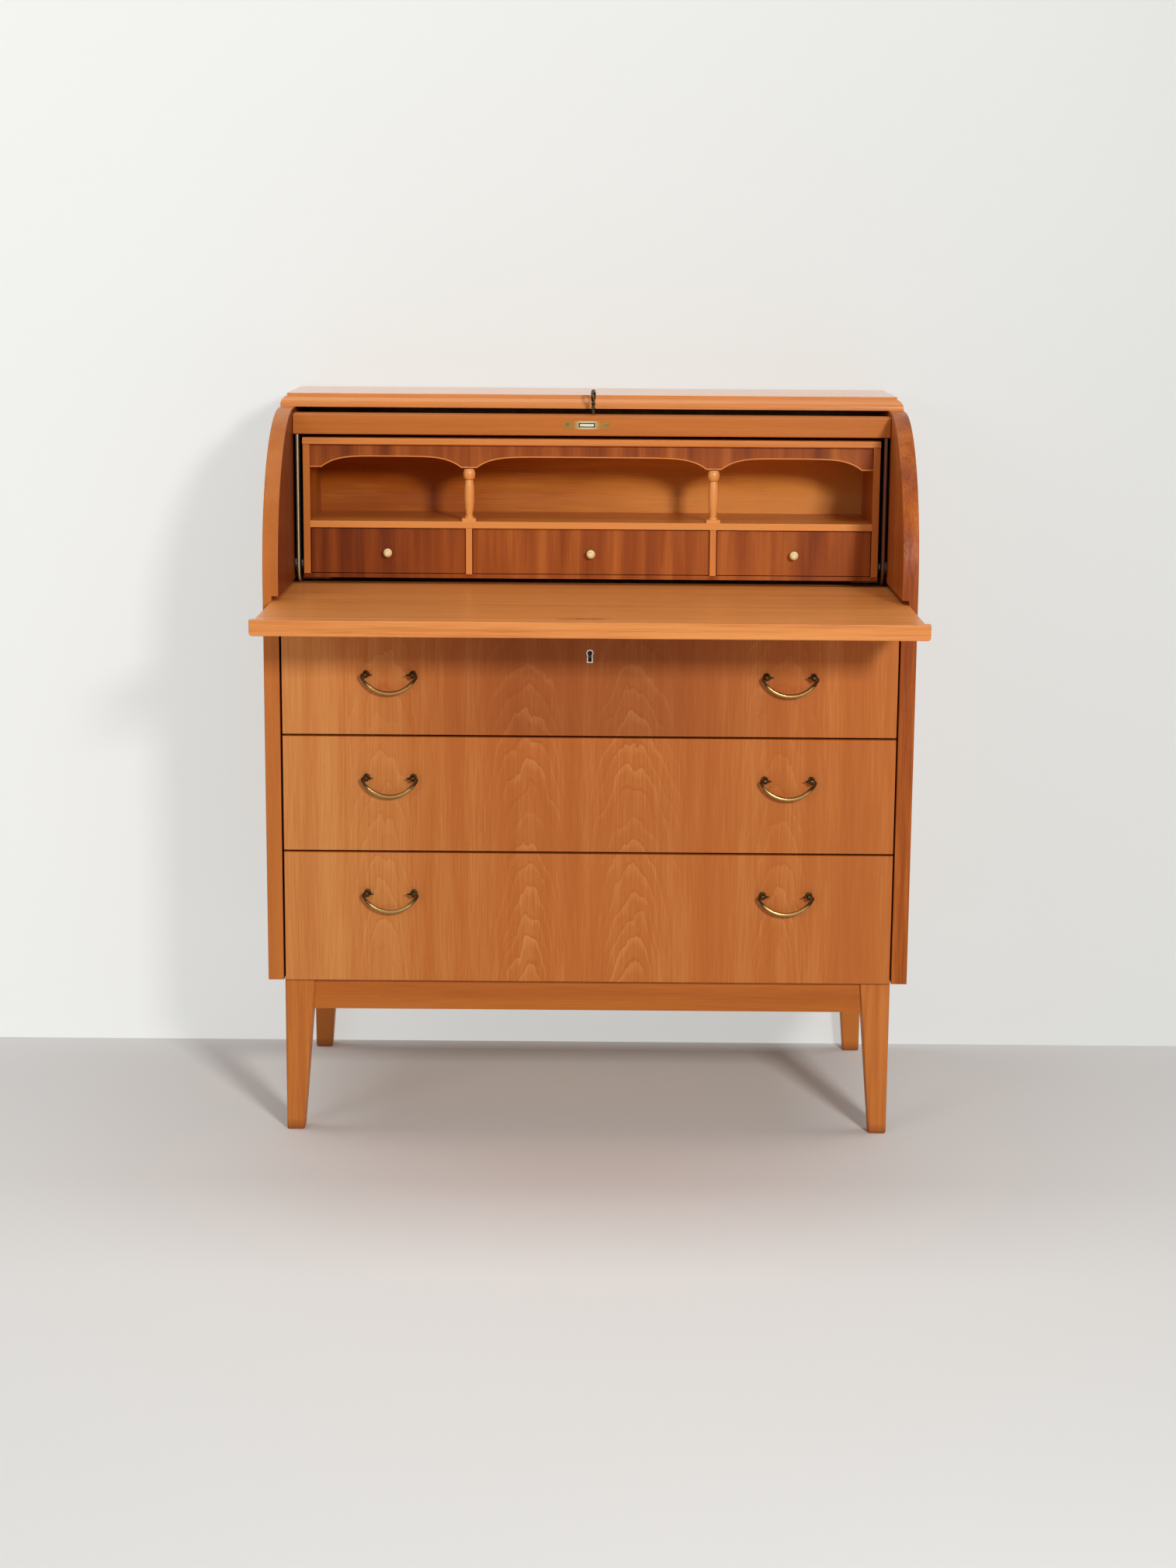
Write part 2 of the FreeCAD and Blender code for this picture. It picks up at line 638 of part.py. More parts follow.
def roll_lock_envelope():
    """Face plate and case of the roll's lock, in the lock rail's leading face."""
    plate = block(LOCK_X - LOCK_PLATE_WIDTH / 2, LOCK_X + LOCK_PLATE_WIDTH / 2,
                  rail_face - LOCK_PLATE_PROUD, rail_face + LOCK_PLATE_THICK,
                  lock_z - LOCK_PLATE_HEIGHT / 2, lock_z + LOCK_PLATE_HEIGHT / 2)
    case = block(LOCK_X - LOCK_CASE_WIDTH / 2, LOCK_X + LOCK_CASE_WIDTH / 2,
                 rail_face + LOCK_PLATE_THICK, rail_face + LOCK_CASE_DEPTH,
                 lock_z - LOCK_CASE_HEIGHT / 2, lock_z + LOCK_CASE_HEIGHT / 2)
    return plate.fuse(case).removeSplitter()


def roll_bolt(grow):
    """The bolt, drawn back level with the face plate."""
    half = BOLT_WIDTH / 2 + grow
    deep = BOLT_THICK / 2 + grow
    y0 = rail_face - LOCK_PLATE_PROUD
    return block(LOCK_X - half, LOCK_X + half, y0, y0 + BOLT_LENGTH + grow, lock_z - deep, lock_z + deep)


def roll_lock():
    lock = roll_lock_envelope().cut(roll_bolt(BOLT_CLEAR))
    room = KEY_BIT + 2 * BOLT_CLEAR
    chamber = rod(V(KEY_X, key_y, lock_z - room / 2), Z_AXIS, KEY_STEM + room, room)
    key_hole = rod(V(KEY_X, key_y, lock_z - KEY_BIT), Z_AXIS, KEY_STEM + KEY_HOLE_CLEAR, LOCK_CASE_HEIGHT)
    lock = lock.cut(chamber).cut(key_hole)
    for screw in lock_screws():
        lock = lock.cut(screw)
    return lock


def lock_screws():
    """Two countersunk screws through the face plate."""
    screws = []
    for x in (LOCK_X - LOCK_SCREW_X, LOCK_X + LOCK_SCREW_X):
        start = V(x, rail_face - LOCK_PLATE_PROUD, lock_z)
        head = Part.makeCone(LOCK_SCREW_RADIUS, LOCK_SCREW_RADIUS / 2, LOCK_PLATE_THICK, start, Y_AXIS)
        shank = rod(start, Y_AXIS, LOCK_SCREW_RADIUS / 2, LOCK_SCREW_LENGTH)
        screws.append(head.fuse(shank).removeSplitter())
    return screws


def roll_key():
    """A turned stem with collars, a pierced oval bow and a small bit inside the lock."""
    surface = pivot_z + math.sqrt(roll_radius ** 2 - (key_y - pivot_y) ** 2)
    top = surface + KEY_STAND
    start = lock_z - KEY_BIT / 2
    bow_z = top - KEY_BOW_HEIGHT / 2
    stem = rod(V(0, 0, start), Z_AXIS, KEY_STEM, bow_z - KEY_BOW_HEIGHT / 2 + KEY_BOW_RIM / 2 - start)
    collars = []
    for share in (0.35, 0.75):
        z = surface + share * (KEY_STAND - KEY_BOW_HEIGHT)
        rise = KEY_COLLAR / 2
        collars.append(Part.makeCone(KEY_STEM, KEY_COLLAR, rise, V(0, 0, z), Z_AXIS))
        collars.append(Part.makeCone(KEY_COLLAR, KEY_STEM, rise, V(0, 0, z + rise), Z_AXIS))
    tall = KEY_BOW_HEIGHT / 2
    wide = KEY_BOW_WIDTH / 2
    oval = Part.Ellipse(V(0, 0, 0), wide, tall)
    hole = Part.Ellipse(V(0, 0, 0), wide - KEY_BOW_RIM, tall - KEY_BOW_RIM)
    bow = Part.Face(Part.Wire(oval.toShape())).extrude(V(0, 0, KEY_BOW_THICK))
    bow = bow.cut(Part.Face(Part.Wire(hole.toShape())).extrude(V(0, 0, KEY_BOW_THICK)))
    bow.translate(V(0, 0, -KEY_BOW_THICK / 2))
    bow.rotate(V(0, 0, 0), X_AXIS, 90)
    bow.translate(V(0, 0, bow_z))
    bit = block(0, KEY_STEM + KEY_BIT, -KEY_BIT_THICK / 2, KEY_BIT_THICK / 2, start, start + KEY_BIT)
    key = stem.fuse(collars + [bow, bit]).removeSplitter()
    key.rotate(V(0, 0, 0), Z_AXIS, KEY_TURN)
    key.translate(V(KEY_X, key_y, 0))
    return key


def roll_panel():
    x = -roll_half
    outer = angle_at(roll_radius, rail_back)
    inner = angle_at(panel_inner, rail_back)
    outline = [
        pivot_arc(roll_radius, outer, TAIL_ANGLE, x),
        line(polar(roll_radius, TAIL_ANGLE, x), polar(panel_inner, TAIL_ANGLE, x)),
        pivot_arc(panel_inner, TAIL_ANGLE, inner, x),
        line(polar(panel_inner, inner, x), polar(roll_radius, outer, x)),
    ]
    return drawn_out(outline, V(2 * roll_half, 0, 0))


def tail_rail():
    """A batten that stiffens the roll's trailing edge from inside."""
    x = -roll_half
    outer = panel_inner - FIT_GAP
    inner = panel_inner - TAIL_RAIL_THICK
    start = TAIL_ANGLE - math.degrees(TAIL_RAIL_LENGTH / panel_inner)
    outline = [
        pivot_arc(outer, start, TAIL_ANGLE, x),
        line(polar(outer, TAIL_ANGLE, x), polar(inner, TAIL_ANGLE, x)),
        pivot_arc(inner, TAIL_ANGLE, start, x),
        line(polar(inner, start, x), polar(outer, start, x)),
    ]
    return drawn_out(outline, V(2 * roll_half, 0, 0))


def right_roll_arm():
    """A sector plate: a hub round the pivot, a straight leading edge and a rim under the roll."""
    x = arm_inner
    low_rim = rail_inner - FIT_GAP
    high_rim = panel_inner - FIT_GAP
    lead = angle_at(low_rim, rail_face)
    step_y = rail_back + FIT_GAP
    low_step = angle_at(low_rim, step_y)
    high_step = angle_at(high_rim, step_y)
    touch = ARM_END_ANGLE + math.degrees(math.acos(ROLL_OFFSET / high_rim))
    outline = [
        line(polar(ROLL_OFFSET, 0, x), polar(low_rim, lead, x)),
        pivot_arc(low_rim, lead, low_step, x),
        line(polar(low_rim, low_step, x), polar(high_rim, high_step, x)),
        pivot_arc(high_rim, high_step, ARM_END_ANGLE, x),
        line(polar(high_rim, ARM_END_ANGLE, x), polar(ROLL_OFFSET, touch, x)),
        pivot_arc(ROLL_OFFSET, touch, 360, x),
    ]
    arm = drawn_out(outline, V(ARM_THICK, 0, 0))
    return arm.cut(rod(V(x - 1, pivot_y, pivot_z), X_AXIS, PIN_RADIUS + PIN_RUNNING, ARM_THICK + 2))


def right_pivot_pin():
    """A shouldered pin: its shank in the side panel, a spacer, the journal and a flat head."""
    start = V(inner_half + PIN_DEPTH, pivot_y, pivot_z)
    inwards = V(-1, 0, 0)
    journal = PIN_DEPTH + ARM_SIDE_GAP + ARM_THICK + PIN_PLAY
    shank = rod(start, inwards, PIN_RADIUS, journal)
    spacer = rod(V(inner_half, pivot_y, pivot_z), inwards, PIN_SPACER_RADIUS, ARM_SIDE_GAP - PIN_PLAY)
    head = rod(V(arm_inner - PIN_PLAY, pivot_y, pivot_z), inwards, PIN_HEAD_RADIUS, PIN_HEAD_THICK)
    return shank.fuse([spacer, head]).removeSplitter()


def gallery_bearer():
    """The right-hand bearer, glued to the side panel above the writing board's path."""
    y1 = gallery_back_y
    z0 = gallery_z - BEARER_THICK
    return block(inner_half - BEARER_WIDTH, inner_half, y1 - BEARER_LENGTH, y1, z0, gallery_z)


def gallery_bottom():
    return block(-gallery_half, gallery_half, gallery_y + GALLERY_BOTTOM_SET, gallery_back_y,
                 gallery_z, gallery_z + GALLERY_BOTTOM)


def right_gallery_side():
    """A side whose back upper corner is rounded for the bent back."""
    x = gallery_inner
    z0 = gallery_z + GALLERY_BOTTOM
    inner_bend = GALLERY_BEND - GALLERY_BACK
    slope = math.sqrt(0.5) * inner_bend
    back = gallery_back_y - GALLERY_BACK
    bend_end = V(x, bend_y, bend_z + inner_bend)
    bend_start = V(x, back, bend_z)
    outline = ring_of_lines([bend_end, V(x, bend_y, gallery_under), V(x, gallery_y, gallery_under),
                             V(x, gallery_y, z0), V(x, back, z0), bend_start])
    outline[-1] = arc(bend_start, V(x, bend_y + slope, bend_z + slope), bend_end)
    side = drawn_out(outline, V(GALLERY_SIDE, 0, 0))
    middle = (z0 + gallery_under) / 2
    return softened(side, GALLERY_SOFT, lambda c: c.y < gallery_y + 1 and abs(c.z - middle) < 1)


def gallery_top():
    y0 = gallery_y - GALLERY_TOP_PROUD
    top = block(-gallery_half, gallery_half, y0, bend_y, gallery_under, gallery_top_z)
    return softened(top, 2 * GALLERY_SOFT, lambda c: c.y < y0 + 1 and abs(c.x) < 1)


def gallery_shelf():
    y0 = gallery_y
    y1 = gallery_back_y - GALLERY_BACK
    shelf = block(-gallery_inner, gallery_inner, y0, y1, shelf_z, shelf_z + GALLERY_SHELF)
    return softened(shelf, GALLERY_SOFT, lambda c: c.y < y0 + 1 and abs(c.x) < 1)


def gallery_divider(x):
    half = DIVIDER_THICK / 2
    y1 = gallery_back_y - GALLERY_BACK
    divider = block(x - half, x + half, gallery_y, y1, gallery_z + GALLERY_BOTTOM, shelf_z)
    return softened(divider, GALLERY_SOFT, lambda c: c.y < gallery_y + 1 and abs(c.x - x) > half - 1)


def gallery_back():
    """Bent plywood: upright, then a quarter turn forwards to the top."""
    x = -gallery_half
    outer = GALLERY_BEND
    inner = GALLERY_BEND - GALLERY_BACK
    back = gallery_back_y
    front = gallery_back_y - GALLERY_BACK
    z0 = gallery_z + GALLERY_BOTTOM

    def halfway(radius):
        slope = math.sqrt(0.5) * radius
        return V(x, bend_y + slope, bend_z + slope)

    outline = [
        line(V(x, front, z0), V(x, back, z0)),
        line(V(x, back, z0), V(x, back, bend_z)),
        arc(V(x, back, bend_z), halfway(outer), V(x, bend_y, bend_z + outer)),
        line(V(x, bend_y, bend_z + outer), V(x, bend_y, bend_z + inner)),
        arc(V(x, bend_y, bend_z + inner), halfway(inner), V(x, front, bend_z)),
        line(V(x, front, bend_z), V(x, front, z0)),
    ]
    return drawn_out(outline, V(2 * gallery_half, 0, 0))


def arch_edge(x0, x1, y):
    """One arch of the apron: flat over its middle, curling down to the flats at its ends."""
    half = (x1 - x0) / 2
    power = half / APRON_CURL
    points = []
    for k in range(17):
        share = k / 8 - 1
        eased = math.sin(share * math.pi / 2)
        points.append(V((x0 + x1) / 2 + half * eased, y, apron_low + APRON_RISE * (1 - abs(eased) ** power)))
    curve = Part.BSplineCurve()
    curve.interpolate(points)
    return curve.toShape()


def gallery_apron():
    y = gallery_y + APRON_SET
    end = gallery_inner
    outer_end = DIVIDER_X + APRON_FLAT / 2
    inner_end = DIVIDER_X - APRON_FLAT / 2
    flat_end = end - APRON_END_FLAT
    low = [-end, -flat_end, -outer_end, -inner_end, inner_end, outer_end, flat_end, end]
    edges = []
    for k, (x0, x1) in enumerate(zip(low, low[1:])):
        is_flat = k % 2 == 0
        edges.append(line(V(x0, y, apron_low), V(x1, y, apron_low)) if is_flat else arch_edge(x0, x1, y))
    edges.append(line(V(end, y, apron_low), V(end, y, gallery_under)))
    edges.append(line(V(end, y, gallery_under), V(-end, y, gallery_under)))
    edges.append(line(V(-end, y, gallery_under), V(-end, y, apron_low)))
    return drawn_out(edges, V(0, APRON_THICK, 0))


def gallery_column(x):
    """A turned column: square plinth, ring, vase and ball, from the shelf to the apron."""
    z0 = shelf_z + GALLERY_SHELF
    height = apron_low - z0
    ring_z = PLINTH_HEIGHT
    vase_z = ring_z + COLUMN_RING_HEIGHT
    ball_top = height - COLUMN_TOP_NECK
    ball_z = ball_top - COLUMN_BALL_HEIGHT
    ball_mid = (ball_z + ball_top) / 2
    groove_z = ball_z - COLUMN_COVE
    half = PLINTH_WIDTH / 2
    plinth = block(-half, half, -half, half, 0, PLINTH_HEIGHT)

    def at(radius, z):
        return V(radius, 0, z)

    vase = Part.BSplineCurve()
    vase.interpolate([at(COLUMN_NECK, vase_z), at(COLUMN_BELLY, vase_z + 0.5 * (groove_z - vase_z)),
                      at(COLUMN_SHOULDER, groove_z)])
    edges = [
        line(at(0, ring_z), at(COLUMN_RING, ring_z)),
        line(at(COLUMN_RING, ring_z), at(COLUMN_RING, vase_z - 1)),
        line(at(COLUMN_RING, vase_z - 1), at(COLUMN_NECK, vase_z)),
        vase.toShape(),
        line(at(COLUMN_SHOULDER, groove_z), at(COLUMN_GROOVE, ball_z - COLUMN_COVE / 2)),
        line(at(COLUMN_GROOVE, ball_z - COLUMN_COVE / 2), at(COLUMN_BALL_END, ball_z)),
        arc(at(COLUMN_BALL_END, ball_z), at(COLUMN_BALL, ball_mid), at(COLUMN_BALL_END, ball_top)),
        line(at(COLUMN_BALL_END, ball_top), at(COLUMN_SHOULDER, ball_top)),
        line(at(COLUMN_SHOULDER, ball_top), at(COLUMN_SHOULDER, height)),
        line(at(COLUMN_SHOULDER, height), at(0, height)),
        line(at(0, height), at(0, ring_z)),
    ]
    turned = Part.Face(Part.Wire(edges)).revolve(V(0, 0, 0), Z_AXIS, 360)
    column = plinth.fuse(turned).removeSplitter()
    column.translate(V(x, column_y, z0))
    return column


def small_bays():
    """Left and right limit of each small drawer's bay."""
    wall = DIVIDER_THICK / 2
    return {
        "left": (-gallery_inner, -DIVIDER_X - wall),
        "middle": (-DIVIDER_X + wall, DIVIDER_X - wall),
        "right": (DIVIDER_X + wall, gallery_inner),
    }


def small_front(bay):
    y0 = gallery_y + SMALL_SET
    z0 = gallery_z + GALLERY_BOTTOM + SMALL_GAP
    front = block(bay[0] + SMALL_GAP, bay[1] - SMALL_GAP, y0, y0 + SMALL_THICK, z0, z0 + SMALL_FRONT)
    front = softened(front, FRONT_SOFT / 2, lambda c: c.y < y0 + 1)
    stud = rod(knob_foot(bay), Y_AXIS, KNOB_STUD + STUD_CLEAR, KNOB_STUD_LENGTH + FIT_GAP)
    return front.cut(stud)


def small_box(bay):
    """Two sides, a back and a bottom behind a small drawer's front."""
    x0 = bay[0] + SMALL_GAP
    x1 = bay[1] - SMALL_GAP
    y0 = gallery_y + SMALL_SET + SMALL_THICK
    y1 = gallery_back_y - GALLERY_BACK - SMALL_BACK_ROOM
    z0 = gallery_z + GALLERY_BOTTOM + FIT_GAP
    z1 = z0 + SMALL_FRONT - SMALL_DROP
    ply = block(x0, x1, y0, y1, z0, z0 + SMALL_PLY)
    left = block(x0, x0 + SMALL_SIDE, y0, y1, z0 + SMALL_PLY, z1)
    right = block(x1 - SMALL_SIDE, x1, y0, y1, z0 + SMALL_PLY, z1)
    back = block(x0 + SMALL_SIDE, x1 - SMALL_SIDE, y1 - SMALL_SIDE, y1, z0 + SMALL_PLY, z1)
    return [left, right, back, ply]


def knob_foot(bay):
    """The point of a small drawer's front where its knob stands."""
    z = gallery_z + GALLERY_BOTTOM + SMALL_GAP + SMALL_FRONT / 2 - KNOB_DROP
    return V((bay[0] + bay[1]) / 2, gallery_y + SMALL_SET, z)


def knob(bay):
    """A turned knob: stud, foot, neck and a round head with a small flat face."""
    neck_y = -KNOB_STAND * 0.2
    head_y = -KNOB_STAND * 0.55
    widest_y = -KNOB_STAND * 0.78
    flat = KNOB_RADIUS * 0.55
    edges = [
        line(V(0, KNOB_STUD_LENGTH, 0), V(KNOB_STUD, KNOB_STUD_LENGTH, 0)),
        line(V(KNOB_STUD, KNOB_STUD_LENGTH, 0), V(KNOB_STUD, 0, 0)),
        line(V(KNOB_STUD, 0, 0), V(KNOB_FOOT, 0, 0)),
        line(V(KNOB_FOOT, 0, 0), V(KNOB_NECK, neck_y, 0)),
        line(V(KNOB_NECK, neck_y, 0), V(KNOB_NECK, head_y, 0)),
        arc(V(KNOB_NECK, head_y, 0), V(KNOB_RADIUS, widest_y, 0), V(flat, -KNOB_STAND, 0)),
        line(V(flat, -KNOB_STAND, 0), V(0, -KNOB_STAND, 0)),
        line(V(0, -KNOB_STAND, 0), V(0, KNOB_STUD_LENGTH, 0)),
    ]
    turned = Part.Face(Part.Wire(edges)).revolve(V(0, 0, 0), Y_AXIS, 360)
    turned.translate(knob_foot(bay))
    return turned


def right_front_leg():
    """A leg that tapers on its two inner faces."""
    x1 = half_width - LEG_SIDE_SET
    y0 = LEG_FRONT_SET

    def square(size, z):
        corners = [V(x1, y0, z), V(x1 - size, y0, z), V(x1 - size, y0 + size, z), V(x1, y0 + size, z)]
        return Part.makePolygon(corners + corners[:1])

    leg = Part.makeLoft([square(LEG_FOOT, 0), square(LEG_TOP, case_z)], True, True)
    return softened(leg, LEG_SOFT, lambda c: c.z < case_z - 1)


def legs():
    """The front pair and the rear pair of legs."""
    front = right_front_leg()
    rear = front.mirror(V(0, (LEG_FRONT_SET + CASE_DEPTH - LEG_BACK_SET) / 2, 0), Y_AXIS)
    return [front, mirrored(front)], [rear, mirrored(rear)]


def without(shape, others):
    """A shape trimmed by its neighbours."""
    for other in others:
        shape = shape.cut(other)
    return shape


def base_rails():
    """Cross rails and side rails, trimmed to the legs' tapered faces and bored for the screws."""
    front_legs, rear_legs = legs()
    all_legs = front_legs + rear_legs
    z0 = case_z - BASE_RAIL_HEIGHT
    reach = half_width - LEG_SIDE_SET - LEG_TOP / 2
    front_y = LEG_FRONT_SET + BASE_RAIL_SET
    rear_y = CASE_DEPTH - LEG_BACK_SET - BASE_RAIL_SET - BASE_RAIL_THICK
    cross = [block(-reach, reach, y, y + BASE_RAIL_THICK, z0, case_z) for y in (front_y, rear_y)]
    side_x = half_width - LEG_SIDE_SET - BASE_RAIL_SET
    side = block(side_x - BASE_RAIL_THICK, side_x, LEG_FRONT_SET + LEG_TOP / 2,
                 CASE_DEPTH - LEG_BACK_SET - LEG_TOP / 2, z0, case_z)
    holes = [screw_hole(place) for place in screw_places()]
    cross = [without(rail, all_legs + holes).Solids[0] for rail in cross]
    sides = [without(rail, all_legs + holes).Solids[0] for rail in (side, mirrored(side))]
    return cross, sides


def screw_places():
    """Where the base screws stand: two in each cross rail and one in each side rail."""
    front_y = LEG_FRONT_SET + BASE_RAIL_SET + BASE_RAIL_THICK / 2
    rear_y = CASE_DEPTH - LEG_BACK_SET - BASE_RAIL_SET - BASE_RAIL_THICK / 2
    side_x = half_width - LEG_SIDE_SET - BASE_RAIL_SET - BASE_RAIL_THICK / 2
    places = [(x, y) for y in (front_y, rear_y) for x in (-SCREW_X, SCREW_X)]
    return places + [(x, (front_y + rear_y) / 2) for x in (-side_x, side_x)]


def screw_hole(place):
    """A bored hole with a wider recess for the screw's head."""
    z0 = case_z - BASE_RAIL_HEIGHT
    length = BASE_RAIL_HEIGHT + SCREW_BITE + FIT_GAP
    shank = rod(V(place[0], place[1], z0), Z_AXIS, SCREW_SHANK + SCREW_CLEAR, length)
    return shank.fuse(rod(V(place[0], place[1], z0 - 1), Z_AXIS, SCREW_HEAD + SCREW_CLEAR, SCREW_RECESS + 1))


def base_screw(place):
    z0 = case_z - BASE_RAIL_HEIGHT + SCREW_RECESS
    head = rod(V(place[0], place[1], z0 - SCREW_HEAD_HEIGHT), Z_AXIS, SCREW_HEAD, SCREW_HEAD_HEIGHT)
    shank = rod(V(place[0], place[1], z0), Z_AXIS, SCREW_SHANK, BASE_RAIL_HEIGHT - SCREW_RECESS + SCREW_BITE)
    return head.fuse(shank).removeSplitter()


def carcass_bottom():
    bottom = block(-inner_half, inner_half, FRONT_THICK + 1, back_y, case_z, case_z + BOTTOM_THICK)
    return without(bottom, [screw_hole(place) for place in screw_places()])


def case_nodes():
    side = right_side_panel()
    runners = [drawer_runner(z, height) for z, height in fronts().values()]
    front_legs, rear_legs = legs()
    cross_rails, side_rails = base_rails()
    pin = right_pivot_pin()
    back_half = inner_half + BACK_REBATE - FIT_GAP
    return {
        "left_side_panel": [mirrored(side)],
        "right_side_panel": [side],
        "top_board": [top_board()],
        "carcass_bottom": [carcass_bottom()],
        "back_panel": [block(-back_half, back_half, back_y, CASE_DEPTH, case_z, side_top)],
        "writing_rail": [writing_rail()],
        "drawer_runners": runners + [mirrored(runner) for runner in runners],
        "front_legs": front_legs,
        "rear_legs": rear_legs,
        "base_cross_rails": cross_rails,
        "base_side_rails": side_rails,
        "base_screws": [base_screw(place) for place in screw_places()],
        "roll_pivot_pins": [pin, mirrored(pin)],
    }


def gallery_nodes():
    side = right_gallery_side()
    bearer = gallery_bearer()
    nodes = {
        "gallery_bearers": [bearer, mirrored(bearer)],
        "gallery_bottom": [gallery_bottom()],
        "gallery_sides": [side, mirrored(side)],
        "gallery_top": [gallery_top()],
        "gallery_shelf": [gallery_shelf()],
        "gallery_dividers": [gallery_divider(-DIVIDER_X), gallery_divider(DIVIDER_X)],
        "gallery_back": [gallery_back()],
        "gallery_apron": [gallery_apron()],
        "gallery_columns": [gallery_column(-DIVIDER_X), gallery_column(DIVIDER_X)],
    }
    for name, bay in small_bays().items():
        nodes[name + "_small_drawer_front"] = [small_front(bay)]
        nodes[name + "_small_drawer_box"] = small_box(bay)
        nodes[name + "_small_drawer_knob"] = [knob(bay)]
    return nodes


def drawer_nodes():
    nodes = {}
    for name, (z, height) in fronts().items():
        nodes[name + "_drawer_front"] = [upper_drawer_front() if name == "upper" else drawer_front(z, height)]
        nodes[name + "_drawer_box"] = drawer_box(z, height)
        nodes[name + "_handle_posts"] = handle_posts(z, height)
        for side, x in (("left", -HANDLE_X), ("right", HANDLE_X)):
            nodes[name + "_" + side + "_bail"] = [bail(x, z + height - HANDLE_DROP)]
    nodes["drawer_escutcheon"] = [escutcheon()]
    nodes["drawer_lock"] = [drawer_lock()]
    nodes["drawer_lock_bolt"] = [drawer_bolt(0)]
    return nodes


def board_and_roll_nodes():
    arm = right_roll_arm()
    return {
        "writing_board": [writing_board()],
        "board_front_strip": [board_front_strip()],
        "board_stop_pins": board_stop_pins(),
        "roll_panel": [roll_panel()],
        "lock_rail": [lock_rail()],
        "tail_rail": [tail_rail()],
        "roll_arms": [arm, mirrored(arm)],
        "roll_lock": [roll_lock()],
        "roll_lock_screws": lock_screws(),
        "roll_lock_bolt": [roll_bolt(0)],
        "roll_key": [roll_key()],
    }


def main():
    os.makedirs("parts", exist_ok=True)
    nodes = {}
    for group in (case_nodes(), gallery_nodes(), drawer_nodes(), board_and_roll_nodes()):
        nodes.update(group)
    for name, shapes in nodes.items():
        solids = [solid for shape in shapes for solid in shape.Solids]
        if len(solids) != len(shapes) or not all(solid.isValid() and solid.Volume > 0 for solid in solids):
            raise ValueError(name + " is not made of sound single solids")
        whole = solids[0] if len(solids) == 1 else Part.makeCompound(solids)
        whole.translate(V(0, -origin_y, 0))
        whole.exportStep("parts/" + name + ".step")
    print(len(nodes), "nodes")


main()
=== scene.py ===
"""Dresses the roll top secretary desk: veneers, solid wood, brass, small fittings, stage and camera."""
import json
import math

import bpy
from bpy.props import FloatProperty, FloatVectorProperty, IntProperty, PointerProperty
from mathutils import Matrix, Vector


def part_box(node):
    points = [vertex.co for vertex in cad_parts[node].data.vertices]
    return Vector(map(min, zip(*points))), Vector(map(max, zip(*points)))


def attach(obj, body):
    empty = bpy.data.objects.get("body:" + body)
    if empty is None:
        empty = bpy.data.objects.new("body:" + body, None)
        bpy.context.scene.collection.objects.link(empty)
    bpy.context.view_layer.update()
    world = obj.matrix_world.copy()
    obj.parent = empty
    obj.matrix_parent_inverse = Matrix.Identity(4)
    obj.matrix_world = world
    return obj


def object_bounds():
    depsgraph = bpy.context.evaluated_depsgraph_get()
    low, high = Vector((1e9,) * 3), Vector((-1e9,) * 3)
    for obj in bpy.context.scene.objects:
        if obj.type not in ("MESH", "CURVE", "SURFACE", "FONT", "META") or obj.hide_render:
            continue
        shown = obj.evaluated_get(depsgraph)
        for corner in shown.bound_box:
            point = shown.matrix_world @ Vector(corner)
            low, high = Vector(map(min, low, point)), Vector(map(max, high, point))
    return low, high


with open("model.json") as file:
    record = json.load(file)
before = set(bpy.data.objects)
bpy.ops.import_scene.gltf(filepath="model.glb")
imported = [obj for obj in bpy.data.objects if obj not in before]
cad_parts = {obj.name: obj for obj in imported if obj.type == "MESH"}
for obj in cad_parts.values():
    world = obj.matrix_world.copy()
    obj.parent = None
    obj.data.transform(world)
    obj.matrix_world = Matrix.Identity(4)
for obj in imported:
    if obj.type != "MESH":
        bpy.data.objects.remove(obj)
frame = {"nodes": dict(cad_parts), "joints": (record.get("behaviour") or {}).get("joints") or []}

bl_info = {
    "name": "Roll top secretary desk",
    "version": (1, 0, 0),
    "blender": (4, 5, 0),
    "location": "3D View > Sidebar > Desk",
    "description": "Finishes for a cylinder desk with drawers, a writing board and a gallery",
    "category": "Object",
}

MM = 0.001
CAD_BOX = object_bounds()
NODES = frame["nodes"]
DRAWERS = ("lower", "middle", "upper")
SIDES = ("left", "right")
BAYS = ("left", "middle", "right")


def linear(hex_colour):
    """An sRGB hex colour as linear red, green and blue."""
    parts = []
    for start in (1, 3, 5):
        value = int(hex_colour[start:start + 2], 16) / 255
        parts.append(value / 12.92 if value <= 0.04045 else ((value + 0.055) / 1.055) ** 2.4)
    return tuple(parts)


# The deep brown that darkens wood: painted shade on inner faces and shadowed parts,
# and also real scuffs, worn feet and the drawer fronts' darker middles.
SHADE_AND_WEAR = linear("#621E00")
# A face counts as facing along an axis from this share of its normal.
FLAT_FACE = 0.8
# Places of the light, middle and dark tone on a wood's ramp, and the middle stretch of a noise that is used.
TONE_STOPS = (0.0, 0.5, 1.0)
NOISE_LOW = 0.3
NOISE_HIGH = 0.7


def colour(name, description, hex_colour):
    """A colour property with an sRGB hex default."""
    return FloatVectorProperty(name=name, description=description, subtype="COLOR", size=3, min=0.0, max=1.0,
                               default=linear(hex_colour))


def length(name, description, millimetres):
    """A length property with a default in millimetres."""
    return FloatProperty(name=name, description=description, unit="LENGTH", subtype="DISTANCE", min=0.0,
                         default=millimetres * MM)


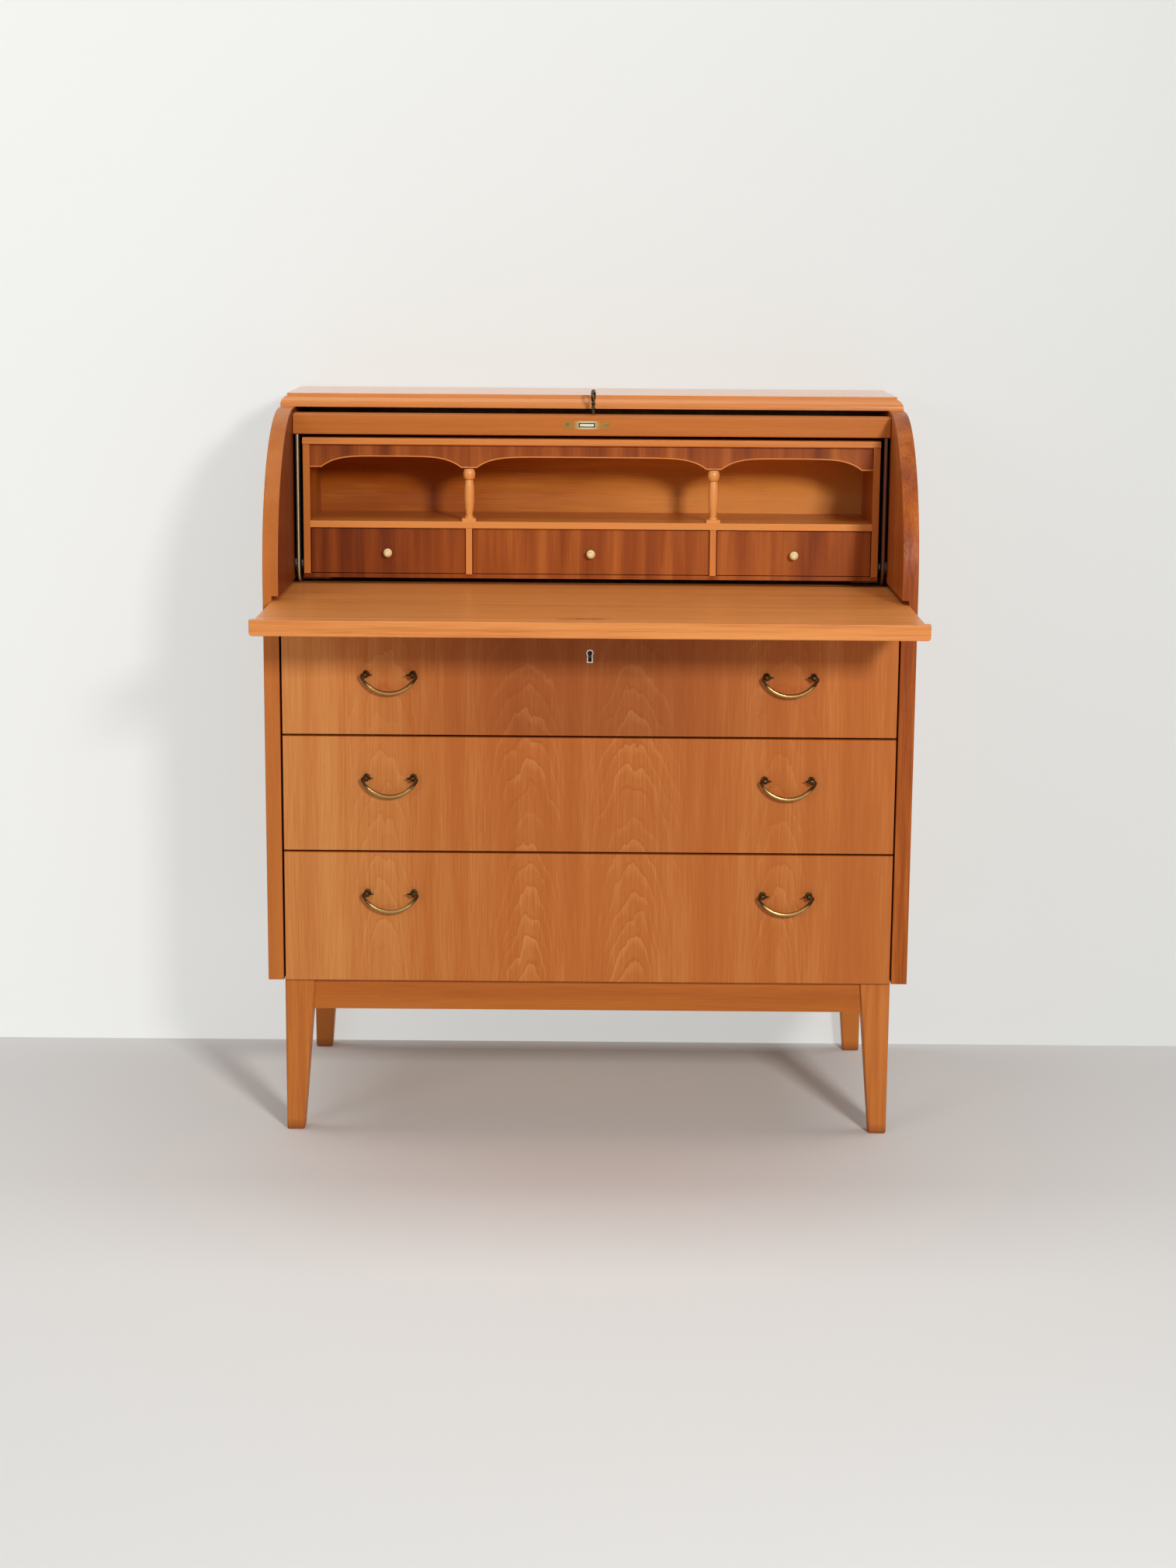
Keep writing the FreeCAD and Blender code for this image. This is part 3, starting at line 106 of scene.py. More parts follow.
class DeskColours(bpy.types.PropertyGroup):
    """Colours of the woods, metals and paints."""
    veneer_light: colour("Veneer light", "Yellow streaks of the cherry veneer", "#CF8A4A")
    veneer_mid: colour("Veneer middle", "Body colour of the cherry veneer", "#B8672A")
    veneer_dark: colour("Veneer dark", "Red streaks of the cherry veneer", "#A2531C")
    solid_light: colour("Solid light", "Light streaks of the solid cherry edges", "#E2954F")
    solid_mid: colour("Solid middle", "Body colour of the solid cherry edges", "#D88743")
    solid_dark: colour("Solid dark", "Dark streaks of the solid cherry edges", "#BC6A2A")
    frame_light: colour("Frame light", "Light streaks of the legs and rails", "#C67634")
    frame_mid: colour("Frame middle", "Body colour of the legs and rails", "#B46322")
    frame_dark: colour("Frame dark", "Dark streaks of the legs and rails", "#964A16")
    inside_light: colour("Inside light", "Light streaks of the gallery's inside", "#DE8F3F")
    inside_mid: colour("Inside middle", "Body colour of the gallery's inside", "#A95614")
    inside_dark: colour("Inside dark", "Dark streaks of the gallery's inside", "#7E3C0A")
    mahogany_light: colour("Mahogany light", "Light ribbons of the mahogany", "#BC6C2E")
    mahogany_mid: colour("Mahogany middle", "Body colour of the mahogany", "#964A16")
    mahogany_dark: colour("Mahogany dark", "Dark ribbons of the mahogany", "#6C2C08")
    beech_light: colour("Beech light", "Light flecks of the bare beech", "#D9B384")
    beech_mid: colour("Beech middle", "Body colour of the bare beech", "#C79C69")
    beech_dark: colour("Beech dark", "Dark flecks of the bare beech", "#A67B4B")
    brass: colour("Brass", "Rubbed faces of the aged brass", "#B0925C")
    brass_dark: colour("Brass tarnish", "Tarnish of the aged brass", "#3E2C1A")
    plate: colour("Plate", "Pale brass of the lock plate", "#B5A67E")
    nickel: colour("Nickel", "Nickel plate", "#D8D2C4")
    bronze: colour("Bronze", "Dark bronze of the key", "#5A4A38")
    bone: colour("Bone", "Cream bone of the knobs", "#F4E0A6")
    floor: colour("Floor", "Pale painted floor", "#F7F7F5")
    wall: colour("Wall", "Pale painted wall behind the desk", "#F4F5F2")


class DeskSizes(bpy.types.PropertyGroup):
    """Sizes of the figure in the wood and of the small repeated pieces."""
    ring: length("Ring", "Width of a growth ring in the veneer", 6.0)
    fibre: length("Fibre", "Width of a fibre streak, drawn coarse enough to show", 1.7)
    ribbon: length("Ribbon", "Width of a ribbon in the mahogany", 26.0)
    bead: length("Bead", "Radius of the bead under the apron", 1.0)
    nail_spacing: length("Nail spacing", "Distance between nails round the back panel", 62.0)
    nail_head: length("Nail head", "Radius of a nail head in the back panel", 2.0)
    bead_sides: IntProperty(name="Bead sides", description="Sides of the bead's round section", min=3,
                            default=10)


def fill(tree, node, links):
    """Fills a node's sockets from values or from other nodes' sockets."""
    for key, value in links.items():
        if isinstance(value, bpy.types.NodeSocket):
            tree.links.new(value, node.inputs[key])
        else:
            node.inputs[key].default_value = value


def add(tree, kind, links=None, stops=(), **settings):
    """Adds a node with its settings, fills its sockets and sets a ramp's stops."""
    node = tree.nodes.new(kind)
    for name, value in settings.items():
        setattr(node, name, value)
    fill(tree, node, links or {})
    for index, (position, tint) in enumerate(stops):
        elements = node.color_ramp.elements
        element = elements[index] if index < len(elements) else elements.new(position)
        element.position = position
        element.color = (*tint, 1.0)
    return node


def new_material(name):
    """An empty material with its tree, its shader and a point's place on the desk, in metres."""
    material = bpy.data.materials.new(name)
    material.use_nodes = True
    tree = material.node_tree
    tree.nodes.clear()
    shader = add(tree, "ShaderNodeBsdfPrincipled")
    add(tree, "ShaderNodeOutputMaterial", {"Surface": shader.outputs[0]})
    return material, tree, shader, add(tree, "ShaderNodeTexCoord").outputs["Object"]


def laid_board(tree, across, depth, along):
    """Board coordinates in millimetres: x across the grain, y into the board, z along the grain."""
    turned = add(tree, "ShaderNodeCombineXYZ", {0: across, 1: depth, 2: along})
    scaled = add(tree, "ShaderNodeVectorMath", {0: turned.outputs[0], "Scale": 1 / MM}, operation="SCALE")
    return scaled.outputs[0]


def facing(tree, axis):
    """How far a face looks along an axis, either way: one straight along it, zero square to it."""
    normal = add(tree, "ShaderNodeSeparateXYZ", {0: add(tree, "ShaderNodeNewGeometry").outputs["Normal"]})
    return add(tree, "ShaderNodeMath", {0: normal.outputs[axis]}, operation="ABSOLUTE").outputs[0]


def boxed_board(tree, spot):
    """Board coordinates of a drawer box: the grain runs back along the sides and across elsewhere."""
    choice = add(tree, "ShaderNodeMath", {0: facing(tree, "X"), 1: FLAT_FACE}, operation="GREATER_THAN")
    cross = laid_board(tree, spot["Z"], spot["Y"], spot["X"])
    back = laid_board(tree, spot["Z"], spot["X"], spot["Y"])
    return add(tree, "ShaderNodeMix", {"Factor": choice.outputs[0], 4: cross, 5: back},
               data_type="VECTOR").outputs[1]


def bent_board(tree, spot):
    """Board coordinates of the roll: the grain runs round the curve."""
    pivot = roll_pivot()
    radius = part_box("roll_panel")[1].z - pivot.z
    forward = add(tree, "ShaderNodeMath", {0: pivot.y, 1: spot["Y"]}, operation="SUBTRACT")
    upward = add(tree, "ShaderNodeMath", {0: spot["Z"], 1: pivot.z}, operation="SUBTRACT")
    angle = add(tree, "ShaderNodeMath", {0: upward.outputs[0], 1: forward.outputs[0]}, operation="ARCTAN2")
    run = add(tree, "ShaderNodeMath", {0: angle.outputs[0], 1: radius}, operation="MULTIPLY")
    return laid_board(tree, spot["X"], 0.0, run.outputs[0])


def roll_pivot():
    """The roll hinge's place in the frame, in metres."""
    hinge = next(joint for joint in frame["joints"] if joint["name"] == "roll_hinge")
    return Vector(hinge["pos_m"])


def grain(tree, board, scale):
    """Stretched noise on board coordinates; scale is its size in millimetres across, into and along."""
    per_size = [1 / size for size in scale]
    fitted = add(tree, "ShaderNodeVectorMath", {0: board, 1: per_size}, operation="MULTIPLY")
    noise = add(tree, "ShaderNodeTexNoise", {"Vector": fitted.outputs[0], "Scale": 1.0, "Detail": 3.0})
    return noise.outputs["Fac"]


def rings(tree, board, ring, leaf):
    """Growth rings cut lengthwise: crowned arches over each heart line, fading into straight lines beside it.

    leaf holds, in millimetres and slopes, the matched seam, the half width of the inner leaves, the heart
    lines and tilts of the inner and outer leaves, the level where a heart meets the face, the strength far
    from a heart and the outer leaves' share of it.
    The result is above zero on a dark line and below zero on a pale one.
    """
    sway_by = 22.0
    wobble_by = 0.75 * ring
    dark_until = 0.2
    pale_from = 0.6
    pale_full = 0.97
    crown_half = 14.0
    beside_half = 60.0
    split = add(tree, "ShaderNodeSeparateXYZ", {0: board})
    sway = add(tree, "ShaderNodeMapRange", {0: grain(tree, board, (60.0, 60.0, 260.0)), 3: -sway_by,
                                            4: sway_by})
    wobble = add(tree, "ShaderNodeMapRange", {0: grain(tree, board, (20.0, 20.0, 50.0)), 3: -wobble_by,
                                              4: wobble_by})
    across = add(tree, "ShaderNodeMath", {0: split.outputs["X"], 1: leaf["seam"]}, operation="SUBTRACT")
    folded = add(tree, "ShaderNodeMath", {0: across.outputs[0]}, operation="ABSOLUTE")
    outer = add(tree, "ShaderNodeMath", {0: folded.outputs[0], 1: leaf["inner_width"]},
                operation="GREATER_THAN")
    heart = add(tree, "ShaderNodeMapRange", {0: outer.outputs[0], 3: leaf["inner_heart"],
                                             4: leaf["outer_heart"]})
    tilt = add(tree, "ShaderNodeMapRange", {0: outer.outputs[0], 3: leaf["inner_tilt"],
                                            4: leaf["outer_tilt"]})
    off = add(tree, "ShaderNodeMath", {0: folded.outputs[0], 1: heart.outputs[0]}, operation="SUBTRACT")
    off = add(tree, "ShaderNodeMath", {0: off.outputs[0], 1: sway.outputs[0]}, operation="ADD")
    rise = add(tree, "ShaderNodeMath", {0: split.outputs["Z"], 1: leaf["level"]}, operation="SUBTRACT")
    deep = add(tree, "ShaderNodeMath", {0: rise.outputs[0], 1: tilt.outputs[0]}, operation="MULTIPLY")
    pair = add(tree, "ShaderNodeCombineXYZ", {0: off.outputs[0], 1: deep.outputs[0]})
    radius = add(tree, "ShaderNodeVectorMath", {0: pair.outputs[0]}, operation="LENGTH")
    radius = add(tree, "ShaderNodeMath", {0: radius.outputs["Value"], 1: wobble.outputs[0]}, operation="ADD")
    turns = add(tree, "ShaderNodeMath", {0: radius.outputs[0], 1: ring}, operation="DIVIDE")
    year = add(tree, "ShaderNodeMath", {0: turns.outputs[0]}, operation="FLOOR")
    within = add(tree, "ShaderNodeMath", {0: turns.outputs[0]}, operation="FRACT")
    strength = add(tree, "ShaderNodeTexWhiteNoise", {"W": year.outputs[0]}, noise_dimensions="1D")
    dark = add(tree, "ShaderNodeMapRange", {0: within.outputs[0], 1: 0.0, 2: dark_until, 3: 0.9, 4: 0.0})
    pale = add(tree, "ShaderNodeMapRange", {0: within.outputs[0], 1: pale_from, 2: pale_full, 3: 0.0, 4: 1.0})
    line = add(tree, "ShaderNodeMath", {0: dark.outputs[0], 1: pale.outputs[0]}, operation="SUBTRACT")
    line = add(tree, "ShaderNodeMath", {0: line.outputs[0], 1: strength.outputs["Value"]},
               operation="MULTIPLY")
    beside = add(tree, "ShaderNodeMath", {0: off.outputs[0]}, operation="ABSOLUTE")
    near = add(tree, "ShaderNodeMapRange", {0: beside.outputs[0], 1: crown_half, 2: beside_half, 3: 1.0,
                                            4: leaf["far"]})
    share = add(tree, "ShaderNodeMapRange", {0: outer.outputs[0], 3: 1.0, 4: leaf["outer_share"]})
    line = add(tree, "ShaderNodeMath", {0: line.outputs[0], 1: share.outputs[0]}, operation="MULTIPLY")
    line = add(tree, "ShaderNodeMath", {0: line.outputs[0], 1: near.outputs[0]}, operation="MULTIPLY")
    return line.outputs[0]


# The drawer fronts' two pairs of matched leaves, and the sides' single pair.
FRONT_LEAF = {"seam": -10.0, "inner_width": 172.0, "inner_heart": 74.0, "outer_heart": 276.0,
              "inner_tilt": 0.17, "outer_tilt": 0.13, "level": 40.0, "far": 0.22, "outer_share": 0.6}
SIDE_LEAF = {"seam": 95.0, "inner_width": 400.0, "inner_heart": 90.0, "outer_heart": 90.0,
             "inner_tilt": 0.12, "outer_tilt": 0.12, "level": 60.0, "far": 0.2, "outer_share": 1.0}
BOARDS = {"bent": bent_board, "box": boxed_board}


def timber(name, tones, board, leaf=None, mix=(0.24, 0.3, 0.14), streak=(30.0, 30.0, 700.0), gloss=0.44,
           coat=0.0, ends=None, fade=None, shade=None, smudge=None):
    """A lacquered wood: broad streaks, growth rings and fine fibres mixed into three tones.

    board is either the axes (across, depth, along) or a key of BOARDS. streak is the size of a broad streak
    in millimetres, and mix weighs streaks, rings and fibres. ends are the tones of faces that don't face
    along the depth axis. fade is a stretch of x in metres that grows lighter by an amount, and shade an axis
    with a stretch that grows darker, used for painted shade as well as for worn feet.
    smudge is a scuffed place.
    """
    sizes = bpy.context.scene.desk_sizes
    material, tree, shader, place = new_material(name)
    spot = add(tree, "ShaderNodeSeparateXYZ", {0: place}).outputs
    if board in BOARDS:
        laid = BOARDS[board](tree, spot)
    else:
        laid = laid_board(tree, *[spot[axis] for axis in board])
    fibre_size = sizes.fibre / MM
    broad = grain(tree, laid, streak)
    fibre = grain(tree, laid, (fibre_size, fibre_size, 42.0 * fibre_size))
    pores = grain(tree, laid, (0.8 * fibre_size, 0.8 * fibre_size, 7.0 * fibre_size))
    middle = TONE_STOPS[1]
    tone = add(tree, "ShaderNodeMapRange", {0: broad, 1: NOISE_LOW, 2: NOISE_HIGH, 3: middle - mix[0],
                                            4: middle + mix[0]})
    fine = add(tree, "ShaderNodeMapRange", {0: fibre, 1: NOISE_LOW, 2: NOISE_HIGH, 3: -mix[2], 4: mix[2]})
    tone = add(tree, "ShaderNodeMath", {0: tone.outputs[0], 1: fine.outputs[0]}, operation="ADD")
    if leaf:
        ring = rings(tree, laid, sizes.ring / MM, leaf)
        tone = add(tree, "ShaderNodeMath", {0: ring, 1: mix[1], 2: tone.outputs[0]}, operation="MULTIPLY_ADD")
    if fade:
        start, end, amount = fade
        lighter = add(tree, "ShaderNodeMapRange", {0: spot["X"], 1: start, 2: end, 3: 0.0, 4: amount})
        tone = add(tree, "ShaderNodeMath", {0: tone.outputs[0], 1: lighter.outputs[0]}, operation="SUBTRACT")
    ramp = add(tree, "ShaderNodeValToRGB", {"Fac": tone.outputs[0]}, stops=zip(TONE_STOPS, tones))
    body = ramp.outputs[0]
    if ends:
        edge = add(tree, "ShaderNodeValToRGB", {"Fac": tone.outputs[0]}, stops=zip(TONE_STOPS, ends))
        flat = facing(tree, board[1])
        choice = add(tree, "ShaderNodeMath", {0: flat, 1: FLAT_FACE}, operation="LESS_THAN")
        body = add(tree, "ShaderNodeMix", {"Factor": choice.outputs[0], 6: body, 7: edge.outputs[0]},
                   data_type="RGBA").outputs[2]
    pore_from = 0.64
    pore_full = 0.76
    pore_depth = 0.3
    pore = add(tree, "ShaderNodeMapRange", {0: pores, 1: pore_from, 2: pore_full, 3: 0.0, 4: pore_depth})
    body = add(tree, "ShaderNodeMix", {"Factor": pore.outputs[0], 6: body, 7: (*tones[2], 1.0)},
               data_type="RGBA").outputs[2]
    if shade:
        axis, full, none, amount = shade
        out = add(tree, "ShaderNodeMath", {0: spot[axis]}, operation="ABSOLUTE")
        darker = add(tree, "ShaderNodeMapRange", {0: out.outputs[0], 1: full, 2: none, 3: amount, 4: 0.0})
        body = add(tree, "ShaderNodeMix", {"Factor": darker.outputs[0], 6: body, 7: (*SHADE_AND_WEAR, 1.0)},
                   data_type="RGBA").outputs[2]
    if smudge:
        body = smudged(tree, place, body, smudge)
    rough = add(tree, "ShaderNodeMapRange", {0: fibre, 1: NOISE_LOW, 2: NOISE_HIGH, 3: gloss - 0.05,
                                             4: gloss + 0.08})
    bump = add(tree, "ShaderNodeBump", {"Strength": 0.08, "Distance": 0.0004, "Height": fibre})
    fill(tree, shader, {"Base Color": body, "Roughness": rough.outputs[0], "Normal": bump.outputs[0],
                        "Specular IOR Level": 0.2, "Coat Weight": coat, "Coat Roughness": 0.16})
    return material


def smudged(tree, place, body, smudge):
    """Darkens a long scuffed place, given by its centre and half sizes in metres."""
    moved = add(tree, "ShaderNodeVectorMath", {0: place, 1: smudge["centre"]}, operation="SUBTRACT")
    fitted = add(tree, "ShaderNodeVectorMath", {0: moved.outputs[0], 1: smudge["half"]}, operation="DIVIDE")
    far = add(tree, "ShaderNodeVectorMath", {0: fitted.outputs[0]}, operation="LENGTH")
    ragged = grain(tree, place, (22 * MM, 2.2 * MM, 4 * MM))
    reach = add(tree, "ShaderNodeMath", {0: ragged, 1: 2.4, 2: far.outputs["Value"]},
                operation="MULTIPLY_ADD")
    worn_until = 1.25
    clean_from = 1.75
    worn_depth = 0.8
    worn = add(tree, "ShaderNodeMapRange", {0: reach.outputs[0], 1: worn_until, 2: clean_from, 3: worn_depth,
                                            4: 0.0})
    return add(tree, "ShaderNodeMix", {"Factor": worn.outputs[0], 6: body, 7: (*SHADE_AND_WEAR, 1.0)},
               data_type="RGBA").outputs[2]


def old_metal(name, bright, dark, roughness, patch, rubbed=None):
    """A handled metal: bright where it is rubbed, tarnished in soft patches (patch in millimetres).

    rubbed is a pair of heights in metres: bright up to the first, tarnished from the second.
    """
    material, tree, shader, place = new_material(name)
    cloud = add(tree, "ShaderNodeTexNoise", {"Vector": place, "Scale": 1 / (patch * MM), "Detail": 2.0})
    grit = add(tree, "ShaderNodeTexNoise", {"Vector": place, "Scale": 1 / (0.8 * MM), "Detail": 1.0})
    wear = cloud.outputs["Fac"]
    if rubbed:
        height = add(tree, "ShaderNodeSeparateXYZ", {0: place}).outputs["Z"]
        level = add(tree, "ShaderNodeMapRange", {0: height, 1: rubbed[0], 2: rubbed[1], 3: 0.5, 4: 0.1})
        wear = add(tree, "ShaderNodeMath", {0: wear, 1: 0.3, 2: level.outputs[0]},
                   operation="MULTIPLY_ADD").outputs[0]
    tint = add(tree, "ShaderNodeValToRGB", {"Fac": wear}, stops=((0.36, dark), (0.58, bright)))
    rough = add(tree, "ShaderNodeMapRange", {0: wear, 1: NOISE_LOW, 2: NOISE_HIGH, 3: roughness + 0.14,
                                             4: roughness - 0.06})
    bump = add(tree, "ShaderNodeBump", {"Strength": 0.04, "Distance": 0.0002, "Height": grit.outputs["Fac"]})
    fill(tree, shader, {"Base Color": tint.outputs[0], "Roughness": rough.outputs[0],
                        "Normal": bump.outputs[0], "Metallic": 1.0})
    return material


def tones(kind, paler=0.0):
    """Light, middle and dark tone of a wood.

    paler moves the last two towards the light one by that share: past it above one, away from it below zero.
    """
    colours = bpy.context.scene.desk_colours
    light, mid, dark = [Vector(getattr(colours, kind + "_" + tone)) for tone in ("light", "mid", "dark")]
    return [tuple(light), tuple(mid.lerp(light, paler)), tuple(dark.lerp(light, paler))]


def dress(material, *names):
    """Gives CAD nodes their finish."""
    for name in names:
        slots = NODES[name].material_slots
        if not slots:
            NODES[name].data.materials.append(material)
        for slot in slots:
            slot.material = material


def new_piece(name, mesh, material, body):
    """A finished mesh as a piece of the desk that rides on a body and takes its finish from a slot."""
    piece = bpy.data.objects.new(name, mesh)
    bpy.context.scene.collection.objects.link(piece)
    mesh.materials.clear()
    mesh.materials.append(material)
    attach(piece, body)
    return piece


class DESK_OT_case(bpy.types.Operator):
    """Finishes the sides, top, bottom, back, rail and runners of the case"""
    bl_idname = "desk.case"
    bl_label = "Case"

    def execute(self, context):
        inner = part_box("right_side_panel")[0].x
        # Cherry veneer on boards, satin lacquer: warm streaks, quiet arches and solid lippings. The inner
        # faces are darkened with painted shade, most of all on the left, and the left lipping is painted
        # lighter and the right one darker, as the light falls on them.
        for side, darkness, paler in (("left", 0.85, 0.35), ("right", 0.2, -0.8)):
            veneer = timber("cherry_veneer_" + side + "_side", tones("veneer"), ("Y", "X", "Z"), SIDE_LEAF,
                            ends=tones("frame", paler), coat=0.08,
                            shade=("X", inner + 0.3 * MM, inner + 0.9 * MM, darkness))
            dress(veneer, side + "_side_panel")
        # Solid cherry, planed and polished: straight fibres along the board and a clear shine at a low angle.
        top = timber("cherry_solid_top", tones("solid"), ("Y", "Z", "X"), gloss=0.2, coat=0.6,
                     ends=tones("frame", 2.1))
        dress(top, "top_board")
        dress(timber("cherry_solid_rail", tones("frame"), ("Z", "Y", "X")), "writing_rail")
        # Bare beech, planed: pale with short flecks.
        bare = timber("beech_bare", tones("beech"), ("X", "Z", "Y"), gloss=0.6, mix=(0.3, 0.0, 0.3))
        dress(bare, "drawer_runners", "gallery_bearers", "carcass_bottom")
        # Birch plywood, rotary cut: wide soft figure, unpolished.
        ply = timber("birch_plywood_back", tones("beech"), ("X", "Y", "Z"), FRONT_LEAF, gloss=0.65)
        dress(ply, "back_panel")
        return {"FINISHED"}


class DESK_OT_base(bpy.types.Operator):
    """Finishes the legs, base rails and base screws"""
    bl_idname = "desk.base"
    bl_label = "Base"

    def execute(self, context):
        # Solid cherry legs: grain down the leg, streaky, with feet darkened by wear.
        worn = {"streak": (7.0, 7.0, 260.0), "shade": ("Z", 0.0, 16 * MM, 0.6)}
        legs = timber("cherry_solid_legs", tones("frame", 0.5), ("X", "Y", "Z"), mix=(0.5, 0.0, 0.25), **worn)
        dress(legs, "front_legs")
        # The rear legs are the same wood, painted lighter to stand in for the light that reaches them.
        rear_legs_painted_lighter = timber("cherry_solid_rear_legs", tones("frame", 0.9), ("X", "Y", "Z"), **worn)
        dress(rear_legs_painted_lighter, "rear_legs")
        rails = timber("cherry_solid_base_rails", tones("frame"), ("Z", "Y", "X"))
        side_rails = timber("cherry_solid_side_rails", tones("frame"), ("Z", "X", "Y"))
        dress(rails, "base_cross_rails")
        dress(side_rails, "base_side_rails")
        # Plain steel, turned: grey with fine patches.
        steel = old_metal("steel_plain", linear("#8A8A88"), linear("#6A6866"), 0.42, 3.0)
        dress(steel, "base_screws", "roll_pivot_pins")
        return {"FINISHED"}


class DESK_OT_drawers(bpy.types.Operator):
    """Finishes the three large drawers and the drawer lock"""
    bl_idname = "desk.drawers"
    bl_label = "Drawers"

    def execute(self, context):
        colours = context.scene.desk_colours
        # Cherry veneer, book matched over all three fronts: pale crowns at the heart lines, red and yellow
        # streaks between them, lighter towards the left end, the upper one darker in the middle.
        for name, darkness in zip(DRAWERS, (0.0, 0.06, 0.4)):
            front = timber("cherry_veneer_" + name + "_front", tones("veneer"), ("X", "Y", "Z"), FRONT_LEAF,
                           ends=tones("frame"), fade=(-0.2, -0.42, 0.4), shade=("X", 0.1, 0.33, darkness),
                           mix=(0.15, 0.3, 0.12))
            dress(front, name + "_drawer_front")
        # Bare beech, planed: pale with short flecks, the grain back along the sides and across elsewhere.
        boxes = timber("beech_drawer_boxes", tones("beech"), "box", gloss=0.55, mix=(0.3, 0.0, 0.3))
        dress(boxes, *[name + "_drawer_box" for name in DRAWERS])
        # Nickel plate, polished: pale and smooth.
        nickel = old_metal("nickel_plate", tuple(colours.nickel), linear("#B5AE9F"), 0.26, 4.0)
        dress(nickel, "drawer_escutcheon", "drawer_lock_bolt")
        dress(old_metal("steel_lock_case", linear("#77746E"), linear("#55524C"), 0.45, 5.0), "drawer_lock")
        return {"FINISHED"}


class DESK_OT_handles(bpy.types.Operator):
    """Finishes the bails and their posts"""
    bl_idname = "desk.handles"
    bl_label = "Handles"

    def execute(self, context):
        colours = context.scene.desk_colours
        # Cast brass, patinated almost black at the posts and rubbed bright along the bow.
        posts = old_metal("brass_posts", linear("#5A4428"), linear("#2A1E12"), 0.4, 2.5)
        for name in DRAWERS:
            low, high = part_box(name + "_left_bail")
            worn = (low.z + 0.3 * (high.z - low.z), low.z + 0.75 * (high.z - low.z))
            bails = old_metal("brass_" + name + "_bails", tuple(colours.brass), tuple(colours.brass_dark),
                              0.3, 9.0, rubbed=worn)
            dress(bails, *[name + "_" + side + "_bail" for side in SIDES])
            dress(posts, name + "_handle_posts")
        return {"FINISHED"}


class DESK_OT_board(bpy.types.Operator):
    """Finishes the writing board, its front strip and its stops"""
    bl_idname = "desk.board"
    bl_label = "Writing board"

    def execute(self, context):
        low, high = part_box("writing_board")
        worn = {"centre": (-6 * MM, low.y + 24 * MM, high.z), "half": (70 * MM, 16 * MM, 4 * MM)}
        # Cherry veneer laid lengthwise, satin lacquer, scuffed where the bolt has struck.
        top = timber("cherry_veneer_board", tones("solid", 0.35), ("Y", "Z", "X"), smudge=worn, gloss=0.36,
                     coat=0.1, mix=(0.4, 0.0, 0.34), streak=(12.0, 12.0, 520.0))
        dress(top, "writing_board")
        strip = timber("cherry_solid_strip", tones("solid"), ("Z", "Y", "X"), streak=(8.0, 8.0, 420.0),
                       mix=(0.3, 0.0, 0.2), gloss=0.5, coat=0.3)
        dress(strip, "board_front_strip")
        dress(timber("beech_stops", tones("beech"), ("X", "Y", "Z"), gloss=0.6), "board_stop_pins")
        return {"FINISHED"}


class DESK_OT_roll(bpy.types.Operator):
    """Finishes the roll, its rails, arms and lock"""
    bl_idname = "desk.roll"
    bl_label = "Roll"

    def execute(self, context):
        colours = context.scene.desk_colours
        # Cherry veneer bent round the cylinder, grain round the curve.
        dress(timber("cherry_veneer_roll", tones("veneer"), "bent", FRONT_LEAF, coat=0.2), "roll_panel")
        rail = timber("cherry_solid_lock_rail", tones("frame", 0.4), ("Z", "Y", "X"), gloss=0.36,
                      streak=(10.0, 10.0, 400.0))
        dress(rail, "lock_rail")
        dress(timber("beech_tail_rail", tones("beech"), ("Z", "Y", "X"), gloss=0.6), "tail_rail")
        dress(plywood_edges(), "roll_arms")
        # Brass plate, brushed and greyed by handling; dull brass screws, a polished nickel bolt and a dark
        # bronze key.
        dress(lock_plate(), "roll_lock")
        dress(old_metal("brass_screws", linear("#8E7746"), linear("#4E3F24"), 0.4, 3.0), "roll_lock_screws")
        dress(old_metal("nickel_bolt", linear("#F2EEE2"), linear("#D8D0BC"), 0.24, 3.0), "roll_lock_bolt")
        dress(old_metal("bronze_key", tuple(colours.bronze), linear("#2C2118"), 0.3, 3.0), "roll_key")
        return {"FINISHED"}


